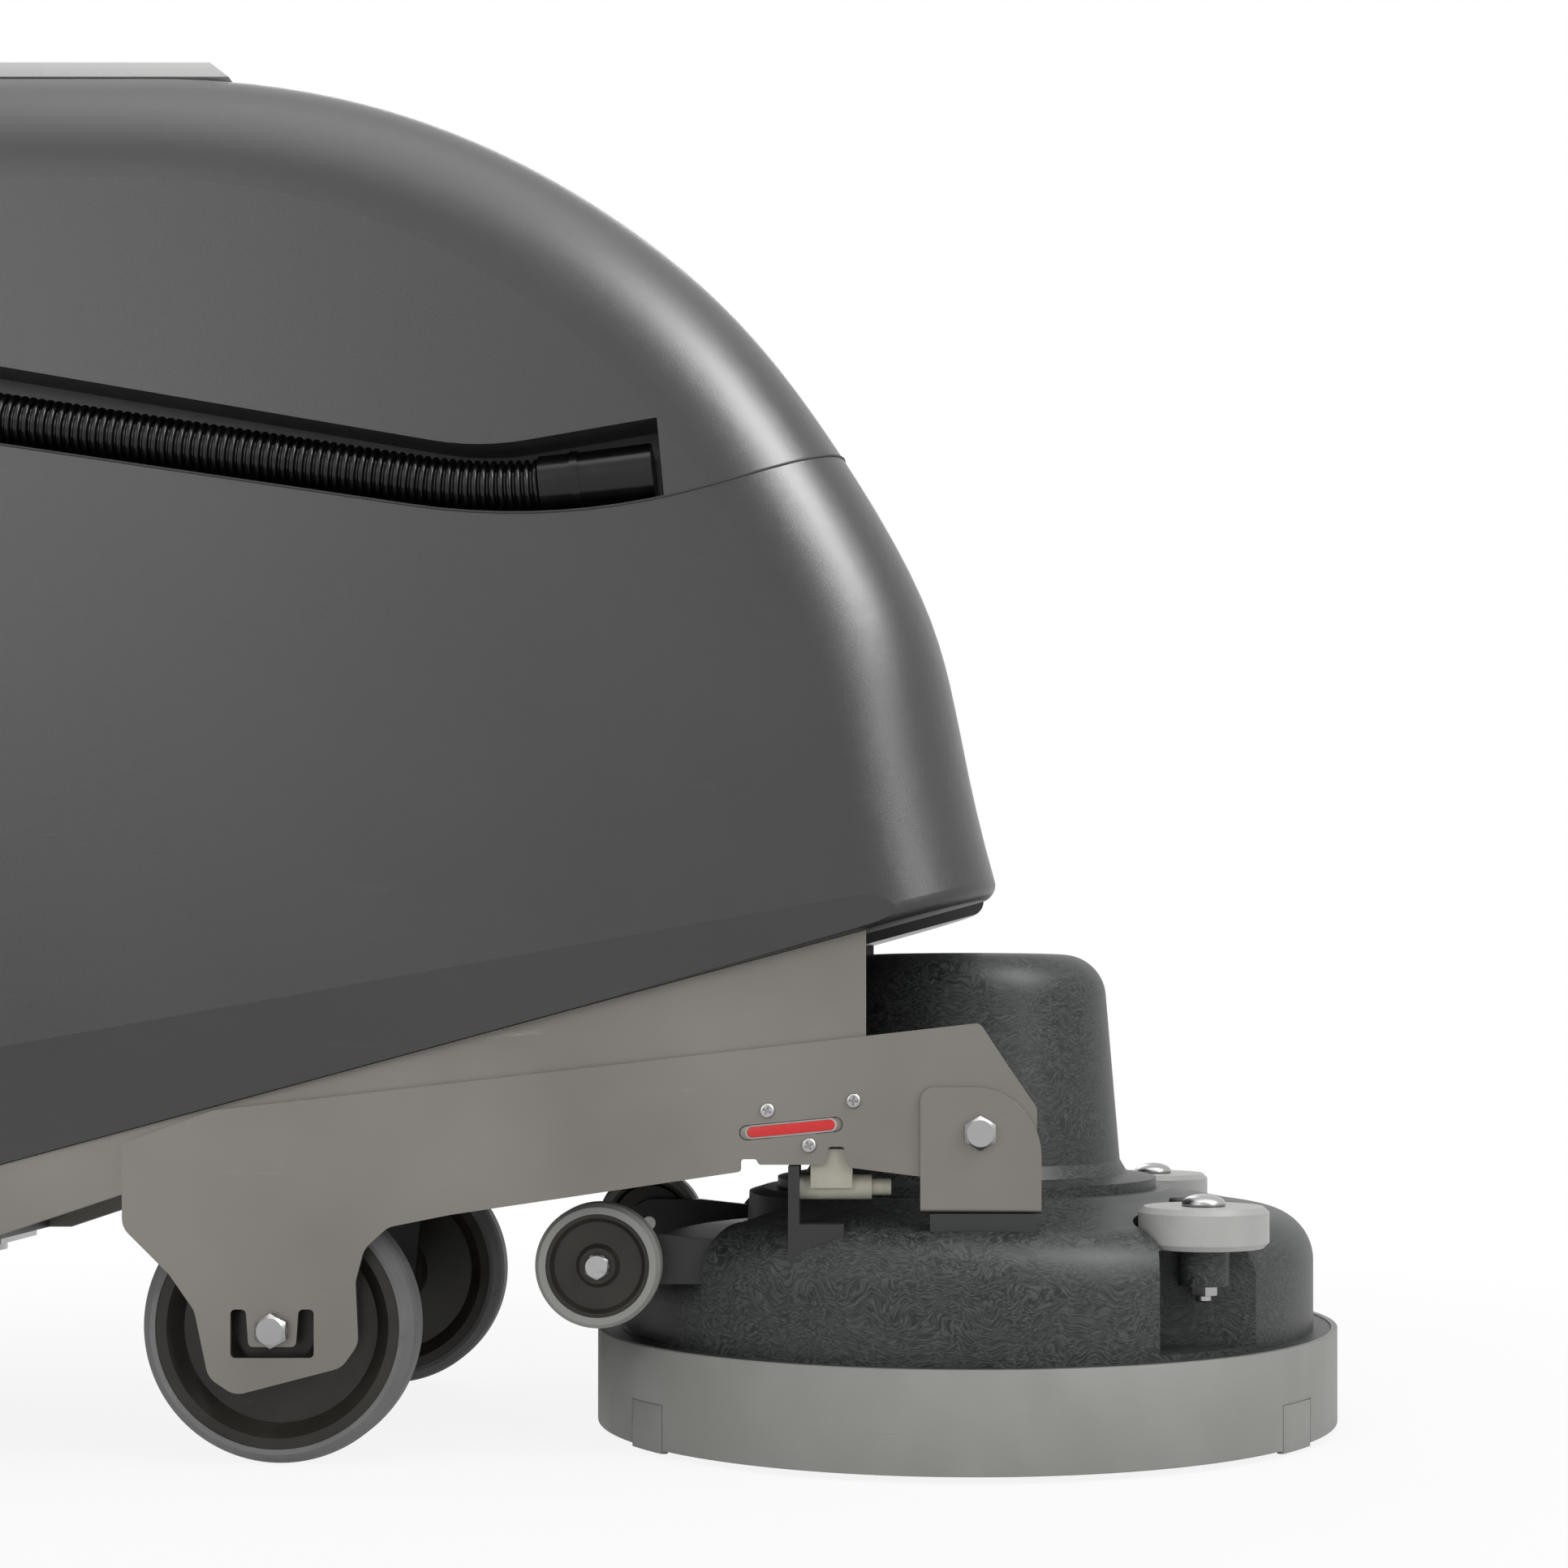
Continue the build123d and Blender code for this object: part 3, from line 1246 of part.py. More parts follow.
def arc_bar(r_in, r_out, z_low, z_high):
    """A bar bent in plan, cut to the squeegee's width."""
    centre_x = SQUEEGEE_REAR + SQUEEGEE_R
    ring = turned([(r_in, z_low), (r_out, z_low), (r_out, z_high), (r_in, z_high)], centre_x)
    return ring & box(
        SQUEEGEE_REAR - 1, SQUEEGEE_REAR + SQUEEGEE_R / 2, -SQUEEGEE_HALF, SQUEEGEE_HALF, z_low, z_high
    )


def make_squeegee():
    bar_low = SQUEEGEE_TOP - SQUEEGEE_T
    outer = SQUEEGEE_R - 2
    bar = arc_bar(outer - SQUEEGEE_W, outer, bar_low, SQUEEGEE_TOP)
    middle_x = SQUEEGEE_REAR + 2 + SQUEEGEE_W / 2
    spigot = post(middle_x, 0, SPIGOT_R, SQUEEGEE_TOP, SQUEEGEE_TOP + SPIGOT_H)
    bar += spigot
    bar -= post(middle_x, 0, SPIGOT_R - SPIGOT_WALL, bar_low, SQUEEGEE_TOP + SPIGOT_H)
    add("squeegee_bar", bar)

    rear_blade = arc_bar(outer - 4 - BLADE_T, outer - 4, 0, bar_low)
    front_blade = arc_bar(outer - SQUEEGEE_W + 4, outer - SQUEEGEE_W + 4 + BLADE_T, 0, bar_low)
    add("squeegee_blades", rear_blade, front_blade)

    links = []
    link_end_x = SQUEEGEE_REAR + SQUEEGEE_W / 2 + 8
    for side in (-1, 1):
        y = side * LINK_Y
        outline = [
            (LINK_PIN_X + 12, LINK_PIN_Z - 12),
            (LINK_PIN_X + 12, LINK_PIN_Z + 12),
            (LINK_PIN_X - 14, LINK_PIN_Z + 12),
            (link_end_x - 10, SQUEEGEE_TOP + 14),
            (link_end_x - 10, SQUEEGEE_TOP),
            (link_end_x + 40, SQUEEGEE_TOP),
        ]
        link = side_plate(outline, y - LINK_T / 2, y + LINK_T / 2)
        link -= cross_rod(LINK_PIN_X, LINK_PIN_Z, LINK_PIN_R + RUN, y - LINK_T, y + LINK_T)
        links.append(link)
    spacer_y = LINK_Y - LINK_T / 2
    spacer_x = middle_x + SPIGOT_R + 6
    spacer = box(spacer_x, spacer_x + 18, -spacer_y, spacer_y, SQUEEGEE_TOP, SQUEEGEE_TOP + 5)
    add("squeegee_carrier", links[0] + links[1] + spacer)

    # Hanger under the rear cross member, with the pin that the links swing on
    top = TRAY_TOP - TRAY_T
    hanger_in = LINK_Y + LINK_T / 2 + SEAM
    hanger_out = hanger_in + LINK_T
    ears = []
    for side in (-1, 1):
        ear = side_plate(
            [
                (LINK_PIN_X - 14, LINK_PIN_Z - 14),
                (LINK_PIN_X + 14, LINK_PIN_Z - 14),
                (REAR_BEAM_X - REAR_BEAM_HALF, REAR_BEAM_Z),
                (REAR_BEAM_X - REAR_BEAM_HALF, top),
                (LINK_PIN_X - 14, top),
            ],
            min(side * hanger_in, side * hanger_out),
            max(side * hanger_in, side * hanger_out),
        )
        ears.append(ear)
    pin = cross_rod(LINK_PIN_X, LINK_PIN_Z, LINK_PIN_R, -hanger_out, hanger_out)
    add("squeegee_hanger", ears[0] + ears[1] + pin)


make_squeegee()


# Console, handle and controls


def panel_plane(y, share):
    """A plane on the console's sloping panel."""
    low = Vector(CONSOLE_REAR, y, CONSOLE_SHELF)
    high = Vector(CONSOLE_TOP[0], y, CONSOLE_TOP[1])
    up_slope = high - low
    normal = Vector(-up_slope.Z, 0, up_slope.X)
    return Plane(origin=low + up_slope * share, x_dir=(0, 1, 0), z_dir=normal)


def make_console():
    console = side_plate(
        [
            SEAT_LOW,
            SEAT_TOP,
            CONSOLE_TOP,
            (CONSOLE_REAR, CONSOLE_SHELF),
            (CONSOLE_REAR, CONSOLE_LOW),
        ],
        -CONSOLE_HALF,
        CONSOLE_HALF,
    )
    rims = console.faces().filter_by(Axis.Y).edges()
    console = fillet(rims, CONSOLE_ROUND)
    button_seat = panel_plane(-BUTTON_Y, 0.5)
    knob_seat = panel_plane(BUTTON_Y, 0.5)
    button_depth = BUTTON_H * 0.6
    console -= extrude(button_seat * Circle(BUTTON_R + SEAM), -button_depth - 4)
    console -= extrude(knob_seat * Circle(4 + RUN), -12)

    pin_x = CONSOLE_REAR - TRIGGER_PIN_R - 4
    pin_z = CONSOLE_LOW + 8
    lugs = []
    for side in (-1, 1):
        y0 = side * (TRIGGER_HALF + SEAM)
        y1 = side * (TRIGGER_HALF + 10)
        lug = box(pin_x - 6, CONSOLE_REAR + 4, min(y0, y1), max(y0, y1), pin_z - 6, pin_z + 6)
        lug -= cross_rod(pin_x, pin_z, TRIGGER_PIN_R + RUN, min(y0, y1), max(y0, y1))
        lugs.append(lug)
    add("control_console", console + lugs[0] + lugs[1])

    paddle = box(
        pin_x - TRIGGER_REACH,
        pin_x,
        -TRIGGER_HALF,
        TRIGGER_HALF,
        pin_z - TRIGGER_T / 2,
        pin_z + TRIGGER_T / 2,
    )
    paddle = fillet(paddle.edges().filter_by(Axis.Z).group_by(Axis.X)[0], 12)
    paddle += cross_rod(pin_x, pin_z, TRIGGER_PIN_R, -TRIGGER_HALF - 10, TRIGGER_HALF + 10)
    add("trigger_bar", paddle)

    button = extrude(button_seat.offset(-button_depth + 4) * Circle(BUTTON_R), BUTTON_H)
    button = fillet(button.edges().filter_by(GeomType.CIRCLE).sort_by(Axis.Z)[-1], 2)
    add("start_button", button)
    knob = extrude(knob_seat.offset(SEAM) * Circle(KNOB_R), KNOB_H)
    grip_slot = 3
    for side in (-1, 1):
        cut = Pos(0, side * KNOB_R * 0.95, SEAM + KNOB_H * 0.7) * Box(2.6 * KNOB_R, KNOB_R, KNOB_H * 0.8)
        knob -= knob_seat * Pos(0, side * grip_slot, 0) * cut
    knob += extrude(knob_seat.offset(SEAM) * Circle(4), -12)
    add("flow_knob", knob)

    # Handle bar: a bent tube that leaves the console's back
    bar_x = HANDLE_REAR + GRIP_R
    ends = [
        (CONSOLE_REAR, -HANDLE_Y),
        (bar_x, -HANDLE_Y),
        (bar_x, HANDLE_Y),
        (CONSOLE_REAR, HANDLE_Y),
    ]
    route = Pos(0, 0, HANDLE_Z) * FilletPolyline(*ends, radius=HANDLE_BEND)
    start = Plane(origin=(CONSOLE_REAR, -HANDLE_Y, HANDLE_Z), z_dir=(-1, 0, 0))
    add("handle_bar", sweep(start * Circle(HANDLE_R), path=route))
    grips = []
    for side in (-1, 1):
        y_mid = side * (HANDLE_Y - HANDLE_BEND - GRIP_L / 2 - 4)
        grip = cross_rod(bar_x, HANDLE_Z, GRIP_R, y_mid - GRIP_L / 2, y_mid + GRIP_L / 2)
        grip = fillet(grip.edges().filter_by(GeomType.CIRCLE), 2)
        grip -= cross_rod(bar_x, HANDLE_Z, HANDLE_R, y_mid - GRIP_L / 2, y_mid + GRIP_L / 2)
        grips.append(grip)
    add("handle_grips", *grips)


make_console()


os.makedirs("parts", exist_ok=True)
for name, solids in nodes.items():
    shape = solids[0] if len(solids) == 1 else Compound(children=solids)
    export_step(shape, f"parts/{name}.step")
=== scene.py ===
import bpy
import json
import math
from mathutils import Matrix, Vector

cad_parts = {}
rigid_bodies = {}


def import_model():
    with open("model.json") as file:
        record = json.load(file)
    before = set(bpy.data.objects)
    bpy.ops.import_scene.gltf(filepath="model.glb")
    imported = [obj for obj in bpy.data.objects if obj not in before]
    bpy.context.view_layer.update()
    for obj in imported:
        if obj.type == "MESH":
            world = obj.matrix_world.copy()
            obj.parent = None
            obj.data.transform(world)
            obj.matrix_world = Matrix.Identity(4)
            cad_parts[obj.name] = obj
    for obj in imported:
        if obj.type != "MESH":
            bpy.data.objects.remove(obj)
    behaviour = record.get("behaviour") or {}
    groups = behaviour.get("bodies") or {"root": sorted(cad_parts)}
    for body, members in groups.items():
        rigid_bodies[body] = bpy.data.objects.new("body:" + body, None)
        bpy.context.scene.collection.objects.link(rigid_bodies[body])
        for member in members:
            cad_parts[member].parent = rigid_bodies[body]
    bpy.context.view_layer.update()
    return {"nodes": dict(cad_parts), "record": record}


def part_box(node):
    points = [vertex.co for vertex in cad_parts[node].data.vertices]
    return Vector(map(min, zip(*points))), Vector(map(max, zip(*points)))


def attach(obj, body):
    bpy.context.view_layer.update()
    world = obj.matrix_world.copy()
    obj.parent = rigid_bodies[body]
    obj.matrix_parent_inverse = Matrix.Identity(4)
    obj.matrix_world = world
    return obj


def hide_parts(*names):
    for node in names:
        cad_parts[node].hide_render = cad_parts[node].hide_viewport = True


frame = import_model()
nodes = frame["nodes"]
print("frame loaded,", len(nodes), "nodes")


# small helpers for object mode and edit mode

noTurn = (0, 0, 0)
halfTurn = (0, 0, math.pi)
alongY = (math.pi / 2, 0, 0)
# how near counts as on a face, as the same point, and as the same point in the frame's meshes
hair = 0.0001
speck = 0.00001
frameWeld = 0.00002


def pick(*items):
    if bpy.context.mode != "OBJECT":
        bpy.ops.object.mode_set(mode="OBJECT")
    bpy.ops.object.select_all(action="DESELECT")
    for item in items:
        item.select_set(True)
    bpy.context.view_layer.objects.active = items[0]


def settle(piece):
    pick(piece)
    bpy.ops.object.transform_apply(location=True, rotation=True, scale=True)
    return piece


def addModifier(piece, name, kind, **settings):
    modifier = piece.modifiers.new(name, kind)
    for key, value in settings.items():
        setattr(modifier, key, value)


def applyModifiers(piece):
    pick(piece)
    for modifier in list(piece.modifiers):
        bpy.ops.object.modifier_apply(modifier=modifier.name)


def joinInto(name, pieces):
    pick(*pieces)
    if len(pieces) > 1:
        bpy.ops.object.join()
    joined = bpy.context.object
    joined.name = name
    joined.data.name = name
    return joined


def copyPiece(piece):
    pick(piece)
    bpy.ops.object.duplicate()
    return bpy.context.object


def selectAll(action):
    bpy.ops.mesh.select_all(action=action)


def startEdit(piece, mode="VERT"):
    pick(piece)
    bpy.ops.object.mode_set(mode="EDIT")
    bpy.ops.mesh.select_mode(type=mode)
    selectAll("SELECT")


def endEdit():
    bpy.ops.object.mode_set(mode="OBJECT")


def choose(piece, mode, test):
    startEdit(piece, mode)
    selectAll("DESELECT")
    endEdit()
    mesh = piece.data
    for item in {"VERT": mesh.vertices, "EDGE": mesh.edges, "FACE": mesh.polygons}[mode]:
        item.select = test(item)
    bpy.ops.object.mode_set(mode="EDIT")


def choosePoints(piece, test):
    choose(piece, "VERT", lambda point: test(point.co))


def bevelRim(piece, test, width, segments):
    choose(piece, "EDGE", lambda edge: all(test(piece.data.vertices[i].co) for i in edge.vertices))
    bpy.ops.mesh.bevel(offset=width, segments=segments, affect="EDGES")
    endEdit()


def cleanMesh(piece, distance=speck):
    startEdit(piece)
    bpy.ops.mesh.remove_doubles(threshold=distance)
    bpy.ops.mesh.normals_make_consistent(inside=False)
    endEdit()


def pushOut(step, scale=(1, 1, 1), centre=(0, 0, 0)):
    bpy.ops.mesh.extrude_region_move(TRANSFORM_OT_translate={"value": step})
    if scale != (1, 1, 1):
        bpy.ops.transform.resize(value=scale, center_override=centre)


def dropPiece(piece):
    pick(piece)
    bpy.ops.object.delete()


def putAt(piece, at, turn=noTurn):
    piece.location = at
    piece.rotation_euler = turn
    return settle(piece)


def spreadOut(template, places):
    made = [putAt(copyPiece(template), at, turn) for at, turn in places]
    dropPiece(template)
    return made


def cutWith(piece, tool, kind):
    addModifier(piece, "cut", "BOOLEAN", operation=kind, solver="EXACT", object=tool)
    applyModifiers(piece)
    dropPiece(tool)


def bothSides(x, y, z, middle=0):
    return ((x, middle - y, z), noTurn), ((x, middle + y, z), halfTurn)


def block(at, size, turn=noTurn):
    bpy.ops.mesh.primitive_cube_add(size=1, location=at, rotation=turn)
    bpy.context.object.scale = size
    return settle(bpy.context.object)


def copyNode(name, nodeName):
    copy = bpy.data.objects.new(name, nodes[nodeName].data.copy())
    bpy.context.collection.objects.link(copy)
    cleanMesh(copy, frameWeld)
    return copy


def finishPiece(name, pieces, smooth, body, slotName, finish=None):
    piece = joinInto(name, pieces)
    bpy.ops.object.shade_smooth_by_angle(angle=math.radians(smooth))
    piece.data.materials.clear()
    piece.data.materials.append(materials[finish or slotName])
    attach(piece, body)
    return piece


# shared shader groups

def putNode(tree, kind, values=None, **settings):
    node = tree.nodes.new("ShaderNode" + kind)
    for key, value in settings.items():
        setattr(node, key, value)
    for key, value in (values or {}).items():
        node.inputs[key].default_value = value
    return node


def wire(tree, *rows):
    for source, leaves, target, enters in rows:
        tree.links.new(source.outputs[leaves], target.inputs[enters])


def startGroup(name, inputs, outputs):
    group = bpy.data.node_groups.new(name, "ShaderNodeTree")
    for way, labels in (("INPUT", inputs), ("OUTPUT", outputs)):
        for label in labels:
            group.interface.new_socket(label, in_out=way, socket_type="NodeSocketFloat")
    kinds = ("NodeGroupInput", "NodeGroupOutput", "ShaderNodeTexCoord")
    return group, *[group.nodes.new(kind) for kind in kinds]


def makeMouldGrain():
    group, entry, leave, place = startGroup(
        "mouldGrain", ["Grain Scale", "Blotch Scale"], ["Height", "Blotch"])
    grain = putNode(group, "TexNoise", {"Detail": 3, "Roughness": 0.6})
    blotch = putNode(group, "TexNoise", {"Detail": 4, "Roughness": 0.55, "Distortion": 0.4})
    spread = putNode(group, "MapRange", {"From Min": 0.3, "From Max": 0.7})
    wire(group, (place, "Object", grain, "Vector"), (place, "Object", blotch, "Vector"),
         (entry, "Grain Scale", grain, "Scale"), (entry, "Blotch Scale", blotch, "Scale"),
         (blotch, "Fac", spread, "Value"), (grain, "Fac", leave, "Height"),
         (spread, "Result", leave, "Blotch"))
    return group


def makeBrushedLines():
    group, entry, leave, place = startGroup("brushedLines", ["Fineness"], ["Height", "Streak"])
    along = putNode(group, "VectorMath", {1: (0.012, 1, 1)}, operation="MULTIPLY")
    lines = putNode(group, "TexNoise", {"Detail": 4, "Roughness": 0.65})
    broad = putNode(group, "TexNoise", {"Scale": 7, "Detail": 3})
    streak = putNode(group, "MapRange", {"From Min": 0.3, "From Max": 0.7})
    wire(group, (place, "Object", along, 0), (along, "Vector", lines, "Vector"),
         (entry, "Fineness", lines, "Scale"), (place, "Object", broad, "Vector"),
         (broad, "Fac", streak, "Value"), (lines, "Fac", leave, "Height"),
         (streak, "Result", leave, "Streak"))
    return group


def makeFibreSwirl():
    group, entry, leave, place = startGroup(
        "fibreSwirl", ["Swirl Scale", "Fibre Scale"], ["Height", "Fibre"])
    bend = putNode(group, "TexNoise", {"Detail": 2, "Roughness": 0.5})
    push = putNode(group, "VectorMath", {1: (0.06, 0.06, 0.06)}, operation="MULTIPLY")
    moved = putNode(group, "VectorMath", operation="ADD")
    squeeze = putNode(group, "VectorMath", {1: (0.35, 0.35, 1.6)}, operation="MULTIPLY")
    fibre = putNode(group, "TexNoise", {"Detail": 3, "Roughness": 0.6, "Distortion": 0.6})
    sharp = putNode(group, "MapRange", {"From Min": 0.42, "From Max": 0.64})
    wire(group, (place, "Object", bend, "Vector"), (entry, "Swirl Scale", bend, "Scale"),
         (bend, "Color", push, 0), (place, "Object", moved, 0), (push, "Vector", moved, 1),
         (moved, "Vector", squeeze, 0), (squeeze, "Vector", fibre, "Vector"),
         (entry, "Fibre Scale", fibre, "Scale"), (fibre, "Fac", sharp, "Value"),
         (fibre, "Fac", leave, "Height"), (sharp, "Result", leave, "Fibre"))
    return group


def makeScuffs():
    group, entry, leave, place = startGroup("scuffs", ["Scuff Scale", "Sparse"], ["Scuff"])
    drag = putNode(group, "VectorMath", {1: (0.25, 1, 1)}, operation="MULTIPLY")
    marks = putNode(group, "TexNoise", {"Detail": 6, "Roughness": 0.7, "Distortion": 0.6})
    above = putNode(group, "Math", operation="SUBTRACT")
    gain = putNode(group, "Math", {1: 9.0}, operation="MULTIPLY", use_clamp=True)
    wire(group, (place, "Object", drag, 0), (drag, "Vector", marks, "Vector"),
         (entry, "Scuff Scale", marks, "Scale"), (marks, "Fac", above, 0), (entry, "Sparse", above, 1),
         (above, "Value", gain, 0), (gain, "Value", leave, "Scuff"))
    return group


mouldGrain = makeMouldGrain()
brushedLines = makeBrushedLines()
fibreSwirl = makeFibreSwirl()
scuffs = makeScuffs()
print("shader groups made")


def useGroup(tree, group, values):
    return putNode(tree, "Group", values, node_tree=group)


def mixColours(tree, mask, low, high):
    mix = putNode(tree, "Mix", {"B": (*high, 1)}, data_type="RGBA")
    tree.links.new(mask, mix.inputs["Factor"])
    if isinstance(low, tuple):
        mix.inputs["A"].default_value = (*low, 1)
    else:
        tree.links.new(low, mix.inputs["A"])
    return mix.outputs["Result"]


def rangeOf(tree, value, low, high):
    node = putNode(tree, "MapRange", {"To Min": low, "To Max": high})
    tree.links.new(value, node.inputs["Value"])
    return node.outputs["Result"]


def addBump(tree, height, strength, distance, shader):
    bump = putNode(tree, "Bump", {"Strength": strength, "Distance": distance})
    tree.links.new(height, bump.inputs["Height"])
    wire(tree, (bump, "Normal", shader, "Normal"))


def startMaterial(name, values):
    material = bpy.data.materials.new(name)
    material.use_nodes = True
    shader = material.node_tree.nodes["Principled BSDF"]
    for key, value in values.items():
        shader.inputs[key].default_value = value
    return material, material.node_tree, shader


def dressShader(tree, shader, look, blotch, marks, roughness, height):
    colour = mixColours(tree, blotch, look["dark"], look["light"])
    colour = mixColours(tree, marks, colour, look["scuff"])
    tree.links.new(colour, shader.inputs["Base Color"])
    tree.links.new(rangeOf(tree, roughness, *look["rough"]), shader.inputs["Roughness"])
    addBump(tree, height, look["bump"], look["depth"], shader)


def putGrain(tree, look):
    return useGroup(tree, mouldGrain, {"Grain Scale": look["grain"], "Blotch Scale": look["blotch"]})


def startPlastic(name, look):
    material, tree, shader = startMaterial(name, {"IOR": look["ior"], "Specular IOR Level": look["shine"]})
    return material, tree, shader, putGrain(tree, look)


def putScuffs(tree, look):
    values = {"Scuff Scale": look["scuffScale"], "Sparse": look["sparse"]}
    return useGroup(tree, scuffs, values).outputs["Scuff"]


def mouldedPlastic(name, look):
    material, tree, shader, grain = startPlastic(name, look)
    blotch = grain.outputs["Blotch"]
    dressShader(tree, shader, look, blotch, putScuffs(tree, look), blotch, grain.outputs["Height"])
    return material


def brushedMetal(name, look):
    material, tree, shader = startMaterial(name, {"Metallic": 1.0})
    lines = useGroup(tree, brushedLines, {"Fineness": look["fineness"]})
    height = lines.outputs["Height"]
    dressShader(tree, shader, look, lines.outputs["Streak"], putScuffs(tree, look), height, height)
    return material


def fibredPlastic(name, look):
    material, tree, shader, grain = startPlastic(name, look)
    swirl = useGroup(tree, fibreSwirl, {"Swirl Scale": look["swirl"], "Fibre Scale": look["fibre"]})
    fibre = swirl.outputs["Fibre"]
    dressShader(tree, shader, look, grain.outputs["Blotch"], fibre, fibre, swirl.outputs["Height"])
    return material


# what a plastic's own row leaves out is taken from the shared one
plasticShared = {"ior": 1.46, "shine": 0.5, "rough": (0.35, 0.5), "grain": 900, "sparse": 0.66,
                 "bump": 0.15, "depth": 0.0004}
plasticLooks = {
    "tank_plastic": {
        "dark": (0.026, 0.026, 0.0265), "light": (0.033, 0.033, 0.034), "scuff": (0.045, 0.045, 0.046),
        "shine": 0.7, "rough": (0.28, 0.35), "grain": 1500, "blotch": 4, "scuffScale": 26, "bump": 0.25,
        "depth": 0.0006},
    "lid_plastic": {
        "dark": (0.66, 0.66, 0.66), "light": (0.71, 0.71, 0.7), "scuff": (0.55, 0.55, 0.54), "shine": 0.12,
        "rough": (0.55, 0.65), "grain": 1300, "blotch": 6, "scuffScale": 30, "sparse": 0.68, "bump": 0.2},
    "hose_black": {
        "dark": (0.002, 0.002, 0.0022), "light": (0.004, 0.004, 0.0042), "scuff": (0.016, 0.016, 0.016),
        "shine": 0.4, "rough": (0.21, 0.31), "blotch": 30, "scuffScale": 120, "bump": 0.1, "depth": 0.0003},
    "hub_black": {
        "dark": (0.02, 0.0182, 0.015), "light": (0.034, 0.031, 0.026), "scuff": (0.055, 0.051, 0.046),
        "shine": 0.32, "rough": (0.26, 0.42), "grain": 700, "blotch": 20, "scuffScale": 90, "sparse": 0.64},
    "tyre_grey": {
        "dark": (0.165, 0.168, 0.166), "light": (0.205, 0.208, 0.205), "scuff": (0.12, 0.12, 0.117),
        "shine": 0.25, "rough": (0.5, 0.68), "grain": 1100, "blotch": 18, "scuffScale": 70, "sparse": 0.62,
        "bump": 0.3, "depth": 0.0006},
    "skirt_grey": {
        "dark": (0.265, 0.265, 0.25), "light": (0.305, 0.305, 0.29), "scuff": (0.21, 0.21, 0.195),
        "rough": (0.5, 0.62), "grain": 1500, "blotch": 9, "scuffScale": 40, "bump": 0.2, "depth": 0.0005},
    "roller_pale": {
        "dark": (0.4, 0.4, 0.385), "light": (0.46, 0.46, 0.445), "scuff": (0.31, 0.31, 0.295),
        "rough": (0.42, 0.55), "grain": 1200, "blotch": 24, "scuffScale": 80, "sparse": 0.64},
    "block_rubber": {
        "dark": (0.02, 0.021, 0.021), "light": (0.032, 0.034, 0.034), "scuff": (0.07, 0.07, 0.07),
        "rough": (0.6, 0.75), "grain": 1400, "blotch": 25, "scuffScale": 90, "sparse": 0.64, "bump": 0.3,
        "depth": 0.0005},
    "valve_white": {
        "dark": (0.36, 0.345, 0.285), "light": (0.44, 0.425, 0.355), "scuff": (0.27, 0.255, 0.2),
        "grain": 1500, "blotch": 40, "scuffScale": 110, "depth": 0.0003},
    "battery_case": {
        "dark": (0.015, 0.015, 0.017), "light": (0.022, 0.022, 0.025), "scuff": (0.06, 0.06, 0.06),
        "grain": 1000, "blotch": 12, "scuffScale": 50},
    "console_black": {
        "dark": (0.014, 0.014, 0.015), "light": (0.021, 0.021, 0.022), "scuff": (0.05, 0.05, 0.05),
        "rough": (0.42, 0.56), "grain": 1500, "blotch": 9, "scuffScale": 45, "sparse": 0.67, "bump": 0.3,
        "depth": 0.0006},
    "blade_rubber": {
        "dark": (0.3, 0.19, 0.09), "light": (0.37, 0.24, 0.12), "scuff": (0.2, 0.12, 0.06),
        "rough": (0.5, 0.65), "blotch": 16, "scuffScale": 60, "sparse": 0.62, "bump": 0.2},
    "strip_red": {
        "dark": (0.58, 0.02, 0.022), "light": (0.68, 0.03, 0.03), "scuff": (0.4, 0.02, 0.02),
        "rough": (0.28, 0.4), "blotch": 60, "scuffScale": 160, "bump": 0.1, "depth": 0.0003},
    "button_green": {
        "dark": (0.02, 0.2, 0.045), "light": (0.03, 0.26, 0.06), "scuff": (0.02, 0.12, 0.03),
        "rough": (0.25, 0.36), "blotch": 60, "scuffScale": 160, "sparse": 0.68, "bump": 0.1,
        "depth": 0.0002},
    "bristle_black": {
        "dark": (0.01, 0.01, 0.01), "light": (0.02, 0.02, 0.02), "scuff": (0.05, 0.045, 0.04), "grain": 500,
        "blotch": 50, "scuffScale": 200, "sparse": 0.62, "bump": 0.1, "depth": 0.0002},
    "frame_paint": {
        "dark": (0.012, 0.012, 0.013), "light": (0.018, 0.018, 0.019), "scuff": (0.06, 0.058, 0.055),
        "rough": (0.38, 0.52), "grain": 800, "blotch": 10, "scuffScale": 40, "bump": 0.3, "depth": 0.0006},
}
metalLooks = {
    "side_steel": {
        "dark": (0.178, 0.168, 0.152), "light": (0.212, 0.2, 0.182), "scuff": (0.26, 0.248, 0.228),
        "rough": (0.36, 0.52), "fineness": 900, "scuffScale": 34, "sparse": 0.66, "bump": 0.12,
        "depth": 0.0004},
    "zinc_bolt": {
        "dark": (0.3, 0.305, 0.3), "light": (0.42, 0.425, 0.42), "scuff": (0.2, 0.2, 0.195),
        "rough": (0.22, 0.36), "fineness": 600, "scuffScale": 220, "sparse": 0.62, "bump": 0.08,
        "depth": 0.0002},
    "motor_metal": {
        "dark": (0.3, 0.3, 0.3), "light": (0.38, 0.38, 0.38), "scuff": (0.22, 0.22, 0.22),
        "rough": (0.4, 0.56), "fineness": 500, "scuffScale": 60, "sparse": 0.62, "bump": 0.2,
        "depth": 0.0004},
}
deckLook = {"dark": (0.014, 0.0155, 0.0155), "light": (0.024, 0.0265, 0.026), "scuff": (0.085, 0.091, 0.088),
            "shine": 0.3, "rough": (0.4, 0.54), "swirl": 22, "fibre": 620, "grain": 900, "blotch": 12,
            "bump": 0.2, "depth": 0.0006}

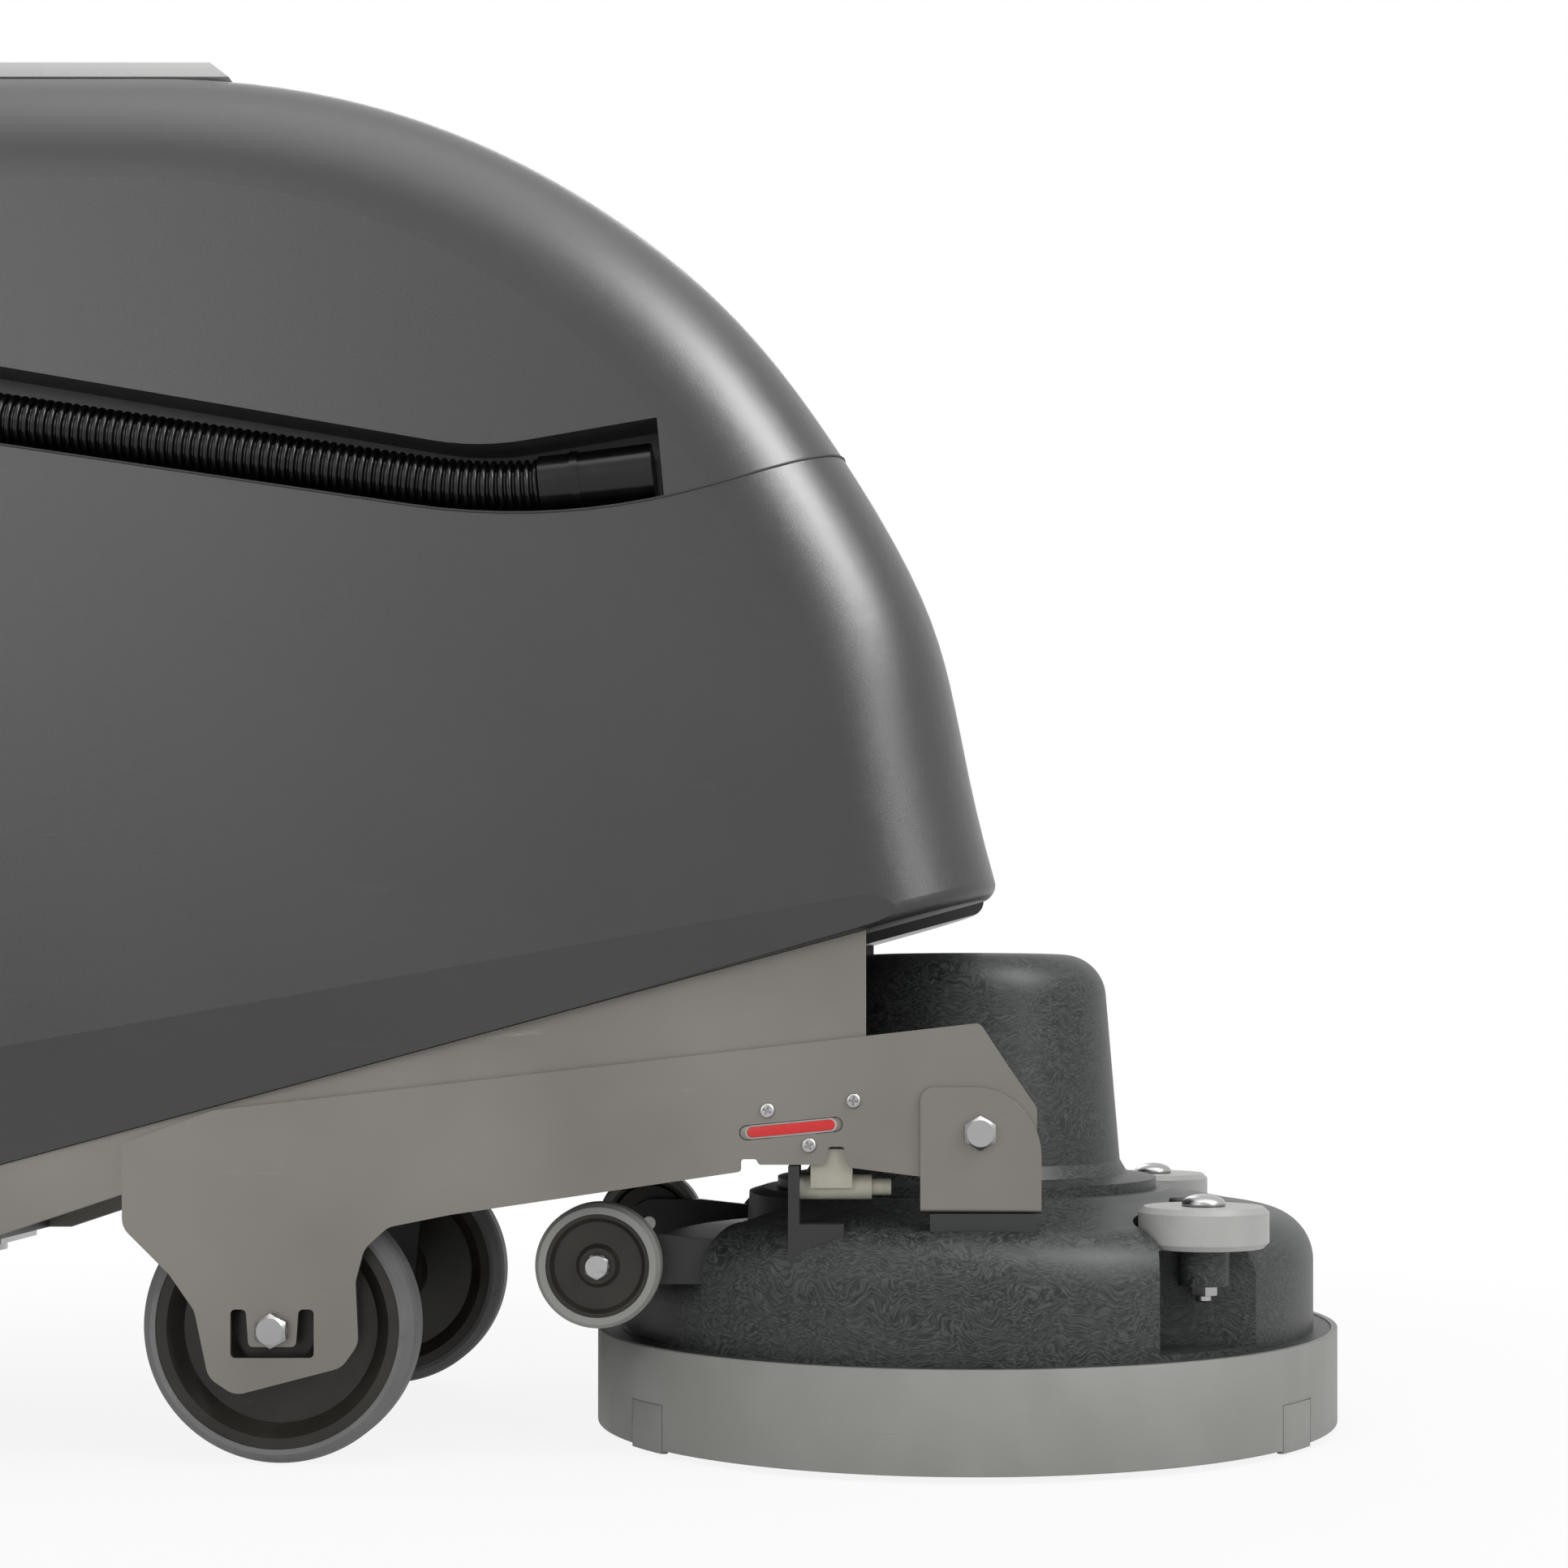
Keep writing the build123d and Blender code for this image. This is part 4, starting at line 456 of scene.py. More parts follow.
materials = {name: mouldedPlastic(name, {**plasticShared, **look}) for name, look in plasticLooks.items()}
materials.update({name: brushedMetal(name, look) for name, look in metalLooks.items()})
materials["deck_plastic"] = fibredPlastic("deck_plastic", {**plasticShared, **deckLook})
print("materials made:", len(materials))

padLook = {"dark": (0.3, 0.006, 0.008), "light": (0.62, 0.018, 0.02), "fibreScale": 700, "clumpScale": 120,
           "bump": 0.9, "depth": 0.004}


def makePadFibre(look):
    material, tree, shader = startMaterial("pad_red", {"Roughness": 0.85})
    place = putNode(tree, "TexCoord")
    fibre = putNode(tree, "TexNoise",
                    {"Scale": look["fibreScale"], "Detail": 5, "Roughness": 0.75, "Distortion": 2.0})
    clump = putNode(tree, "TexVoronoi", {"Scale": look["clumpScale"]})
    spread = putNode(tree, "MapRange", {"From Min": 0.35, "From Max": 0.65})
    both = putNode(tree, "Math", operation="MULTIPLY")
    wire(tree, (place, "Object", fibre, "Vector"), (place, "Object", clump, "Vector"),
         (fibre, "Fac", spread, "Value"))
    tree.links.new(mixColours(tree, spread.outputs["Result"], look["dark"], look["light"]),
                   shader.inputs["Base Color"])
    wire(tree, (fibre, "Fac", both, 0), (clump, "Distance", both, 1))
    addBump(tree, both.outputs["Value"], look["bump"], look["depth"], shader)
    return material


materials["pad_red"] = makePadFibre(padLook)

slotOf = {row["node"]: row["material_slot"] for row in frame["record"]["subparts"]}
for name, node in nodes.items():
    node.data.materials.clear()
    node.data.materials.append(materials[slotOf[name]])
print("frame nodes dressed")


# drain hose: one rib is drawn, repeated and bent along its route

hoseLook = {
    "ribs": 85, "length": 0.53126, "sides": 36, "y": -0.231,
    "profile": ((0.0, 0.0156), (0.16, 0.0156), (0.26, 0.0168), (0.36, 0.0179), (0.5, 0.0185),
                (0.7, 0.0185), (0.84, 0.0179), (0.93, 0.0168), (1.0, 0.0156)),
    "start": (-0.43575, 0.77758), "bendFrom": (0.00385, 0.71228), "bendTo": (0.1004, 0.71035),
    "tip": (0.172, 0.71806), "arcHandle": 0.0323, "routeSteps": 48, "ribWeld": 0.00005, "smooth": 50,
}


def makeHoseRoute(look):
    bpy.ops.curve.primitive_bezier_curve_add()
    route = bpy.context.object
    route.name = "hoseRoute"
    route.data.dimensions = "3D"
    route.data.resolution_u = look["routeSteps"]
    points = route.data.splines[0].bezier_points
    points.add(2)
    start, bendFrom, bendTo, tip = [Vector((look[key][0], look["y"], look[key][1]))
                                    for key in ("start", "bendFrom", "bendTo", "tip")]
    rearWay = (bendFrom - start) / 3
    frontWay = (tip - bendTo) / 3
    arcOut = rearWay.normalized() * look["arcHandle"]
    arcIn = frontWay.normalized() * look["arcHandle"]
    ways = ((start, rearWay, rearWay), (bendFrom, rearWay, arcOut), (bendTo, arcIn, frontWay),
            (tip, frontWay, frontWay))
    for point, (place, before, after) in zip(points, ways):
        point.handle_left_type = "FREE"
        point.handle_right_type = "FREE"
        point.co = place
        point.handle_left = place - before
        point.handle_right = place + after
    return route


def makeDrainHose(look):
    route = makeHoseRoute(look)
    pitch = look["length"] / look["ribs"]
    shares = look["profile"]
    bpy.ops.mesh.primitive_circle_add(
        vertices=look["sides"], radius=shares[0][1], rotation=(0, math.pi / 2, 0))
    hose = settle(bpy.context.object)
    startEdit(hose)
    for (fromShare, fromRadius), (toShare, toRadius) in zip(shares, shares[1:]):
        grow = toRadius / fromRadius
        pushOut(((toShare - fromShare) * pitch, 0, 0), (1, grow, grow), (toShare * pitch, 0, 0))
    endEdit()
    addModifier(
        hose, "ribs", "ARRAY", count=look["ribs"], use_relative_offset=False, use_constant_offset=True,
        constant_offset_displace=(pitch, 0, 0), use_merge_vertices=True, merge_threshold=look["ribWeld"])
    addModifier(hose, "route", "CURVE", object=route, deform_axis="POS_X")
    applyModifiers(hose)
    dropPiece(route)
    startEdit(hose)
    bpy.ops.mesh.fill_holes(sides=0)
    endEdit()
    cleanMesh(hose)
    hose = finishPiece("drainHose", [hose], look["smooth"], "chassis", "hose_black")
    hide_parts("drain_hose")


makeDrainHose(hoseLook)
print("drain hose made")


# scrub pad: a section is spun round, then roughened inwards

padShape = {"centre": (0.403, 0, 0), "hole": 0.0455, "rim": 0.2695, "thick": 0.025,
            "acrossSteps": 40, "upSteps": 8, "turnSteps": 560, "clump": 0.0055, "clumpDetail": 3,
            "depth": 0.0022, "smooth": 60}


def makeScrubPad(look):
    width = look["rim"] - look["hole"]
    middle = (look["centre"][0] + look["hole"] + width / 2, 0, look["thick"] / 2)
    bpy.ops.mesh.primitive_grid_add(
        x_subdivisions=look["acrossSteps"], y_subdivisions=look["upSteps"], size=1,
        location=middle, rotation=alongY)
    pad = bpy.context.object
    pad.scale = (width, look["thick"], 1)
    settle(pad)
    startEdit(pad, "EDGE")
    bpy.ops.mesh.region_to_loop()
    selectAll("INVERT")
    bpy.ops.mesh.delete(type="EDGE")
    selectAll("SELECT")
    bpy.ops.mesh.spin(steps=look["turnSteps"], angle=2 * math.pi, center=look["centre"], axis=(0, 0, 1))
    endEdit()
    cleanMesh(pad)
    clumps = bpy.data.textures.new("padClumps", "CLOUDS")
    clumps.noise_scale = look["clump"]
    clumps.noise_depth = look["clumpDetail"]
    addModifier(pad, "clumps", "DISPLACE", texture=clumps, texture_coords="LOCAL", strength=look["depth"],
                mid_level=1.0)
    applyModifiers(pad)
    pad = finishPiece("scrubPad", [pad], look["smooth"], "pad", "pad_red")
    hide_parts("scrub_pad")


makeScrubPad(padShape)
print("scrub pad made")


# driver bristles: one tuft is copied round each ring

bristleLook = {
    "centre": (0.403, 0, 0), "low": 0.0255, "high": 0.0455, "root": 0.0007, "tip": 0.00045,
    "spread": 0.0016, "strands": 7, "lean": 0.03, "smooth": 40,
    "rings": ((0.08, 26), (0.115, 38), (0.15, 49), (0.185, 61), (0.22, 90), (0.2495, 250), (0.2585, 260)),
    "backing": {"hole": 0.0455, "rim": 0.2635, "low": 0.0452, "high": 0.0478, "sides": 120},
}


def makeTuft(look):
    height = look["high"] - look["low"]
    lean = look["lean"]
    strands = []
    for i in range(look["strands"]):
        around = 2 * math.pi * i / (look["strands"] - 1)
        reach = 0 if i == look["strands"] - 1 else look["spread"]
        at = (reach * math.cos(around), reach * math.sin(around), look["low"] + height / 2)
        bpy.ops.mesh.primitive_cone_add(
            vertices=4, radius1=look["tip"], radius2=look["root"], depth=height, location=at,
            rotation=(-lean * math.sin(around), lean * math.cos(around), around))
        strands.append(bpy.context.object)
    return settle(joinInto("tuft", strands))


def makeBristles(look):
    tuft = makeTuft(look)
    centre = Vector(look["centre"])
    parts = []
    for ring, count in look["rings"]:
        row = putAt(copyPiece(tuft), centre + Vector((ring, 0, 0)))
        angle = 2 * math.pi / count
        turn = Matrix.Translation(centre) @ Matrix.Rotation(angle, 4, "Z") @ Matrix.Translation(-centre)
        bpy.ops.object.empty_add()
        step = bpy.context.object
        step.matrix_world = turn
        bpy.context.view_layer.update()
        addModifier(row, "round", "ARRAY", count=count, use_relative_offset=False, use_object_offset=True,
                    offset_object=step)
        applyModifiers(row)
        dropPiece(step)
        parts.append(row)
    dropPiece(tuft)
    plate = look["backing"]
    bpy.ops.mesh.primitive_circle_add(
        vertices=plate["sides"], radius=plate["rim"], location=(centre.x, centre.y, plate["low"]))
    disc = settle(bpy.context.object)
    inwards = plate["hole"] / plate["rim"]
    startEdit(disc)
    pushOut((0, 0, 0), (inwards, inwards, 1), (centre.x, centre.y, plate["low"]))
    selectAll("SELECT")
    pushOut((0, 0, plate["high"] - plate["low"]))
    endEdit()
    cleanMesh(disc)
    bristles = finishPiece("driverBristles", parts + [disc], look["smooth"], "pad", "bristle_black")
    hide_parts("driver_bristles")


makeBristles(bristleLook)
print("driver bristles made")


# hex bolts with chamfered corners and a washer

boltForm = {"turnedSides": 48, "shankSides": 32, "edge": 0.0004, "shankEdge": 0.0003, "smooth": 28}
largeBolt = {"flats": 0.022, "washer": 0.0112, "washerThick": 0.0018, "head": 0.0062, "chamfer": 0.0031}
casterBolt = {"flats": 0.015, "washer": 0.0105, "washerThick": 0.0012, "head": 0.0042, "shank": 0.004,
              "shankLength": 0.001, "chamfer": 0.0015}
boltLook = {
    "axleBolts": {**largeBolt, "node": "axle_bolts", "body": "chassis", "shank": 0.006,
                  "shankLength": 0.001, "places": bothSides(-0.102, 0.2404, 0.1)},
    "hingeBolts": {**largeBolt, "node": "hinge_bolts", "body": "deck", "shank": 0.008,
                   "shankLength": 0.009, "places": bothSides(0.407, 0.245, 0.242)},
    "deckWheelBolts": {"node": "deck_wheel_bolts", "body": "deck", "flats": 0.017, "washer": 0.0088,
                       "washerThick": 0.0012, "head": 0.0048, "shank": 0.006, "shankLength": 0.0328,
                       "chamfer": 0.0018, "places": bothSides(0.128, 0.2084, 0.143)},
    "rightCasterBolts": {**casterBolt, "body": "right_caster",
                         "places": bothSides(-0.495, 0.034, 0.05, middle=-0.17)},
    "leftCasterBolts": {**casterBolt, "body": "left_caster",
                        "places": bothSides(-0.495, 0.034, 0.05, middle=0.17)},
}


def roundBar(radius, yFrom, yTo, sides):
    bpy.ops.mesh.primitive_cylinder_add(
        vertices=sides, radius=radius, depth=yTo - yFrom, location=(0, (yFrom + yTo) / 2, 0),
        rotation=alongY)
    return settle(bpy.context.object)


def makeBolt(look, form=boltForm):
    # drawn with its seat at y = 0 and its head towards -y
    corner = look["flats"] / math.sqrt(3)
    headSeat = -look["washerThick"]
    headEnd = headSeat - look["head"]
    head = roundBar(corner, headEnd, headSeat, 6)
    turnedHead = roundBar(corner, headEnd, 0, form["turnedSides"])
    bevelRim(turnedHead, lambda at: at.y < headEnd + hair, look["chamfer"], 1)
    cutWith(head, turnedHead, "INTERSECT")
    bevelRim(head, lambda at: at.y > headSeat - hair, form["edge"], 1)
    washer = roundBar(look["washer"], headSeat, 0, form["turnedSides"])
    bevelRim(washer, lambda at: at.y < headSeat + hair, form["edge"], 2)
    shank = roundBar(look["shank"], 0, look["shankLength"], form["shankSides"])
    bevelRim(shank, lambda at: at.y > look["shankLength"] - speck, form["shankEdge"], 1)
    bolt = joinInto("bolt", [head, washer, shank])
    cleanMesh(bolt)
    return bolt


def makeBolts(name, look):
    copies = spreadOut(makeBolt(look), look["places"])
    bolts = finishPiece(name, copies, boltForm["smooth"], look["body"], "zinc_bolt")
    if "node" in look:
        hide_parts(look["node"])


for name, look in boltLook.items():
    makeBolts(name, look)
print("hex bolts made")


# cross-headed screws on the side arms

screwLook = {
    "radius": 0.0055, "height": 0.003, "sides": 32, "round": 0.0019, "smooth": 30, "y": 0.24,
    "crossLong": 0.0064, "crossWide": 0.0013, "crossDeep": 0.0018, "crossEdge": 0.3,
    "spots": ((0.254, 0.258, 0.4), (0.284, 0.233, 1.1), (0.316, 0.265, 0.1)),
}


def makeScrews(look):
    front = -look["height"]
    head = roundBar(look["radius"], front, 0, look["sides"])
    bevelRim(head, lambda at: at.y < front + hair, look["round"], 4)
    armSize = (look["crossLong"], 2 * look["crossDeep"], look["crossWide"])
    for turn in (0, math.pi / 2):
        arm = block((0, front, 0), armSize, (0, turn, 0))
        bevelRim(arm, lambda at: at.y > front, look["crossWide"] * look["crossEdge"], 1)
        cutWith(head, arm, "DIFFERENCE")
    cleanMesh(head)
    places = []
    for x, z, spin in look["spots"]:
        places.append(((x, -look["y"], z), (0, spin, 0)))
        places.append(((x, look["y"], z), (0, spin, math.pi)))
    screws = finishPiece("armScrews", spreadOut(head, places), look["smooth"], "arms", "zinc_bolt")
    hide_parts("arm_screws")


makeScrews(screwLook)
print("arm screws made")


# red strips in the arm slots: a seat, a pale lip and the strip

stripLook = {
    "at": (0.271, 0.245), "turn": math.radians(5.5), "sides": 32, "smooth": 35,
    "layers": {
        "slotSeats": {"length": 0.0748, "height": 0.0108, "inner": 0.2362, "outer": 0.2384, "edge": 0.0004,
                      "finish": "side_steel"},
        "slotLips": {"length": 0.0665, "height": 0.0104, "inner": 0.2383, "outer": 0.239, "edge": 0.0003,
                     "finish": "roller_pale"},
        "slotStrips": {"length": 0.0635, "height": 0.0078, "inner": 0.2388, "outer": 0.2398, "edge": 0.0006,
                       "finish": "strip_red"},
    },
}


def makeStripLayer(name, look, layer):
    # a capsule: a circle whose two halves are drawn apart
    half = layer["height"] / 2
    apart = (layer["length"] - layer["height"]) / 2
    bpy.ops.mesh.primitive_circle_add(
        vertices=look["sides"], radius=half, location=(0, -layer["inner"], 0), rotation=alongY)
    strip = settle(bpy.context.object)
    for side in (-1, 1):
        choosePoints(strip, lambda at: at.x * side > speck)
        bpy.ops.transform.translate(value=(side * apart, 0, 0))
        endEdit()
    startEdit(strip)
    bpy.ops.mesh.edge_face_add()
    pushOut((0, layer["inner"] - layer["outer"], 0))
    endEdit()
    cleanMesh(strip)
    bevelRim(strip, lambda at: at.y < -layer["outer"] + speck, layer["edge"], 2)
    x, z = look["at"]
    putAt(strip, (x, 0, z), (0, -look["turn"], 0))
    far = copyPiece(strip)
    pick(far)
    bpy.ops.transform.mirror(constraint_axis=(False, True, False))
    settle(far)
    cleanMesh(far)
    return finishPiece(name, [strip, far], look["smooth"], "arms", layer["finish"])


stripLayers = {name: makeStripLayer(name, stripLook, layer) for name, layer in stripLook["layers"].items()}
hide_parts("slot_strips")
print("slot strips made")


# softened edges on the frame's sheet metal and mouldings: width and segments

edgeLook = {
    "lift_arms": (0.0009, 2), "deck_brackets": (0.0009, 2), "deck_skirt": (0.0012, 2),
    "chassis_rails": (0.0006, 1), "bracket_pads": (0.0012, 2), "valve_plate": (0.0006, 1),
    "trigger_bar": (0.001, 2),
}
softFrom = math.radians(40)


def softenEdges(look):
    for name, (width, segments) in look.items():
        addModifier(nodes[name], "joinPoints", "WELD", merge_threshold=frameWeld)
        addModifier(nodes[name], "softEdge", "BEVEL", width=width, segments=segments, limit_method="ANGLE",
                    angle_limit=softFrom, harden_normals=True)


softenEdges(edgeLook)
print("edges softened")


# dark rubber bead along the joint of the two tanks, drawn from the lower tank's rim; the dark bead is
# painted shade, standing in for the shadow in the seam groove

seamShadeBeadLook = {"radius": 0.0009, "lift": 0.0004, "sharp": 40, "lowest": 0.66, "near": 0.0002, "smooth": 60}


def makeSeamShadeBead(look):
    rim = copyNode("tankSeamShadeBead", "lower_tank")
    startEdit(rim, "EDGE")
    selectAll("DESELECT")
    bpy.ops.mesh.edges_select_sharp(sharpness=math.radians(look["sharp"]))
    selectAll("INVERT")
    bpy.ops.mesh.delete(type="EDGE_FACE")
    endEdit()
    choosePoints(rim, lambda at: at.z < look["lowest"])
    bpy.ops.mesh.delete(type="VERT")
    endEdit()
    widest = max(abs(vertex.co.y) for vertex in rim.data.vertices)
    choosePoints(rim, lambda at: abs(at.y) > widest - look["near"])
    bpy.ops.mesh.select_linked()
    selectAll("INVERT")
    bpy.ops.mesh.delete(type="VERT")
    selectAll("SELECT")
    bpy.ops.transform.translate(value=(0, 0, look["lift"]))
    endEdit()
    pick(rim)
    bpy.ops.object.convert(target="CURVE")
    rim.data.bevel_depth = look["radius"]
    rim.data.bevel_resolution = 3
    bpy.ops.object.convert(target="MESH")
    # the bead's dark rubber finish is painted shade for the seam groove
    finishPiece("tankSeamShadeBead", [bpy.context.object], look["smooth"], "chassis", "block_rubber")


makeSeamShadeBead(seamShadeBeadLook)
print("tank seal made")


# turned pieces are drawn as a half section of (radius, height) points and spun

def turnedPiece(section, steps):
    bpy.ops.mesh.primitive_plane_add(size=0.001)
    piece = bpy.context.object
    startEdit(piece)
    bpy.ops.mesh.merge(type="CENTER")
    bpy.ops.transform.translate(value=(section[0][0], 0, section[0][1]))
    for (fromRadius, fromHeight), (toRadius, toHeight) in zip(section, section[1:]):
        pushOut((toRadius - fromRadius, 0, toHeight - fromHeight))
    selectAll("SELECT")
    bpy.ops.mesh.spin(steps=steps, angle=2 * math.pi, center=(0, 0, 0), axis=(0, 0, 1))
    endEdit()
    cleanMesh(piece)
    return piece


# bumper bolts: low domed heads over the rollers, nuts under the lugs

bumperLook = {
    "at": (0.573, 0.195), "seat": 0.1865, "domeRadius": 0.0162, "domeHeight": 0.0085, "domeSteps": 9,
    "lip": 0.0011, "lipIn": 0.0004, "shank": 0.006, "tipEdge": 0.0008, "turnSteps": 40,
    "nutDeep": 0.0075, "nutFlats": 0.0185, "nutLift": 0.0042, "nutEdge": 0.0012, "smooth": 32,
}


def makeBumperBolts(look):
    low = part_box("bumper_bolts")[0][2]
    shank, seat, dome = look["shank"], look["seat"], look["domeRadius"]
    lipTop = seat + look["lip"]
    section = [(0.0, low), (shank - look["tipEdge"], low), (shank, low + look["tipEdge"]),
               (shank, seat), (dome - look["lipIn"], seat), (dome, lipTop)]
    for i in range(1, look["domeSteps"] + 1):
        turn = 0.5 * math.pi * i / look["domeSteps"]
        section.append((dome * math.cos(turn), lipTop + (look["domeHeight"] - look["lip"]) * math.sin(turn)))
    bolt = turnedPiece(section, look["turnSteps"])
    nutLow = low + look["nutLift"]
    bpy.ops.mesh.primitive_cylinder_add(
        vertices=6, radius=look["nutFlats"] / math.sqrt(3), depth=look["nutDeep"],
        location=(0, 0, nutLow + look["nutDeep"] / 2))
    nut = settle(bpy.context.object)
    bevelRim(nut, lambda at: at.z < nutLow + hair, look["nutEdge"], 2)
    bolt = joinInto("bumperBolt", [bolt, nut])
    copies = spreadOut(bolt, bothSides(*look["at"], 0))
    bolts = finishPiece("bumperBolts", copies, look["smooth"], "deck", "zinc_bolt")
    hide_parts("bumper_bolts")


makeBumperBolts(bumperLook)
print("bumper bolts made")


# ribbed grips on the handle bar

gripLook = {
    "x": -0.683, "z": 0.925, "from": 0.02, "length": 0.15, "bore": 0.0141, "crest": 0.017, "valley": 0.0157,
    "ribs": 15, "ribShares": (0.15, 0.45, 0.6), "plain": 0.014, "endIn": 0.0012, "endLong": 0.0014,
    "steps": 48, "smooth": 35,
}


def makeGrips(look):
    pitch = (look["length"] - 2 * look["plain"]) / look["ribs"]
    bore, crest, valley, end = look["bore"], look["crest"], look["valley"], look["length"]
    down, hollow, up = look["ribShares"]
    section = [(bore, 0), (crest - look["endIn"], 0), (crest, look["endLong"]), (crest, look["plain"])]
    for i in range(look["ribs"]):
        start = look["plain"] + i * pitch
        section += [(valley, start + down * pitch), (valley, start + hollow * pitch),
                    (crest, start + up * pitch), (crest, start + pitch)]
    section += [(crest, end - look["endLong"]), (crest - look["endIn"], end), (bore, end), (bore, 0)]
    grip = turnedPiece(section, look["steps"])
    putAt(grip, (0, 0, 0), alongY)
    copies = spreadOut(grip, bothSides(look["x"], look["from"], look["z"]))
    grips = finishPiece("handleGrips", copies, look["smooth"], "chassis", slotOf["handle_grips"])
    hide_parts("handle_grips")


makeGrips(gripLook)
print("handle grips made")


# console panel: pieces are drawn flat, x to the right of who pushes, then laid on its slope

panelLook = {
    "middle": (-0.5905, 0, 0.9945), "slope": math.atan2(0.079, 0.069), "smooth": 35,
    "gauge": {"at": (0.004, 0.0), "size": (0.086, 0.056), "thick": 0.0042, "corner": 0.006, "rim": 0.006,
              "deep": 0.0016, "edge": 0.0005},
    "glass": {"thick": 0.0009, "play": 0.001, "corner": 0.003, "edge": 0.0003},
    "lights": {"count": 5, "gap": 0.0125, "radius": 0.0026, "y": -0.0075, "steps": 20, "smooth": 50,
               "section": ((0, -0.0006), (1, -0.0006), (1, 0.0003), (0.8, 0.0008), (0.45, 0.0011),
                           (0, 0.0012)),
               "colours": ("strip_red", "blade_rubber", "button_green")},
    "rockers": {"at": ((-0.135, 0.0), (-0.172, 0.0)), "size": (0.026, 0.044), "thick": 0.007,
                "corner": 0.003, "frameShare": 0.35, "riseShare": 0.65, "pivotShare": 0.7, "rim": 0.0022,
                "deep": 0.001, "slack": 0.0006, "tilt": 0.16, "edge": 0.0009, "smooth": 30},
    "key": {"at": (0.15, 0.0), "radius": 0.0135, "steps": 40, "smooth": 30,
            "section": ((0, -0.001), (1, -0.001), (1, 0.0025), (0.93, 0.0034), (0.72, 0.0036),
                        (0.68, 0.003), (0.62, 0.003), (0.58, 0.0036), (0, 0.0038)),
            "slit": (0.0018, 0.0092, 0.004), "slitMiddle": 0.0042, "slitFoot": 0.003, "slitEdge": 0.0004},
}
# how far a flat block reaches below its own zero
sunk = 0.001


def layOnPanel(piece, look):
    across, rise = math.cos(look["slope"]), math.sin(look["slope"])
    piece.matrix_world = Matrix.Translation(look["middle"]) @ Matrix((
        (0, across, -rise, 0), (-1, 0, 0, 0), (0, rise, across, 0), (0, 0, 0, 1)))
    settle(piece)
    cleanMesh(piece)
    return piece


def flatBlock(at, size, thick, corner):
    slab = block((*at, thick / 2 - sunk / 2), (*size, thick + sunk))

    def upright(edge):
        ends = [slab.data.vertices[i].co.z for i in edge.vertices]
        return abs(ends[0] - ends[1]) > thick / 2

    choose(slab, "EDGE", upright)
    bpy.ops.mesh.bevel(offset=corner, segments=5, affect="EDGES")
    endEdit()
    return slab


def insetTop(piece, height, rim, deep):
    choose(piece, "FACE", lambda face: face.normal.z > 0.9 and face.center.z > height - hair)
    bpy.ops.mesh.inset(thickness=rim)
    bpy.ops.transform.translate(value=(0, 0, -deep))


def turnedBy(look):
    radius = look["radius"]
    return turnedPiece([(share * radius, height) for share, height in look["section"]], look["steps"])


def makeGauge(look):
    gauge, glass, lights = look["gauge"], look["glass"], look["lights"]
    bezel = flatBlock(gauge["at"], gauge["size"], gauge["thick"], gauge["corner"])
    insetTop(bezel, gauge["thick"], gauge["rim"], gauge["deep"])
    endEdit()
    bevelRim(bezel, lambda at: at.z > gauge["thick"] - speck, gauge["edge"], 2)
    finishPiece("gaugeBezel", [layOnPanel(bezel, look)], look["smooth"], "chassis", "console_black")
    floorHeight = gauge["thick"] - gauge["deep"]
    inside = [gauge["size"][k] - 2 * gauge["rim"] - glass["play"] for k in range(2)]
    pane = flatBlock(gauge["at"], inside, glass["thick"], glass["corner"])
    putAt(pane, (0, 0, floorHeight))
    paneTop = floorHeight + glass["thick"]
    bevelRim(pane, lambda at: at.z > paneTop - speck, glass["edge"], 1)
    pane = [layOnPanel(pane, look)]
    finishPiece("gaugePane", pane, look["smooth"], "chassis", "console_black", "gaugeGlass")
    lit = {}
    for i in range(lights["count"]):
        finish = lights["colours"][(i + 1) // 2]
        x = gauge["at"][0] + (i - (lights["count"] - 1) / 2) * lights["gap"]
        dot = putAt(turnedBy(lights), (x, gauge["at"][1] + lights["y"], paneTop))
        lit.setdefault(finish, []).append(layOnPanel(dot, look))
    for finish, dots in lit.items():
        finishPiece("gaugeLights_" + finish, dots, lights["smooth"], "chassis", finish)


def makeRockers(look):
    rocker = look["rockers"]
    thick = rocker["thick"]
    frameThick = thick * rocker["frameShare"]
    parts = []
    for at in rocker["at"]:
        piece = flatBlock(at, rocker["size"], frameThick, rocker["corner"])
        insetTop(piece, frameThick, rocker["rim"], rocker["deep"])
        bpy.ops.mesh.inset(thickness=rocker["slack"])
        pushOut((0, 0, thick * rocker["riseShare"]))
        bpy.ops.transform.rotate(
            value=rocker["tilt"], orient_axis="X", center_override=(*at, thick * rocker["pivotShare"]))
        bpy.ops.mesh.bevel(offset=rocker["edge"], segments=2, affect="EDGES")
        endEdit()
        parts.append(layOnPanel(piece, look))
    finishPiece("rockerSwitches", parts, rocker["smooth"], "chassis", "frame_paint")


def makeKeySwitch(look):
    key = look["key"]
    collar = turnedBy(key)
    slit = block((0, 0, key["slitMiddle"]), key["slit"])
    bevelRim(slit, lambda at: at.z < key["slitFoot"], key["slitEdge"], 1)
    cutWith(collar, slit, "DIFFERENCE")
    putAt(collar, (*key["at"], 0))
    finishPiece("keySwitch", [layOnPanel(collar, look)], key["smooth"], "chassis", "zinc_bolt")


glassLook = {"dark": (0.006, 0.008, 0.008), "light": (0.011, 0.014, 0.013), "rough": (0.08, 0.16),
             "grain": 400, "blotch": 30, "coat": 0.6, "coatRough": 0.05}


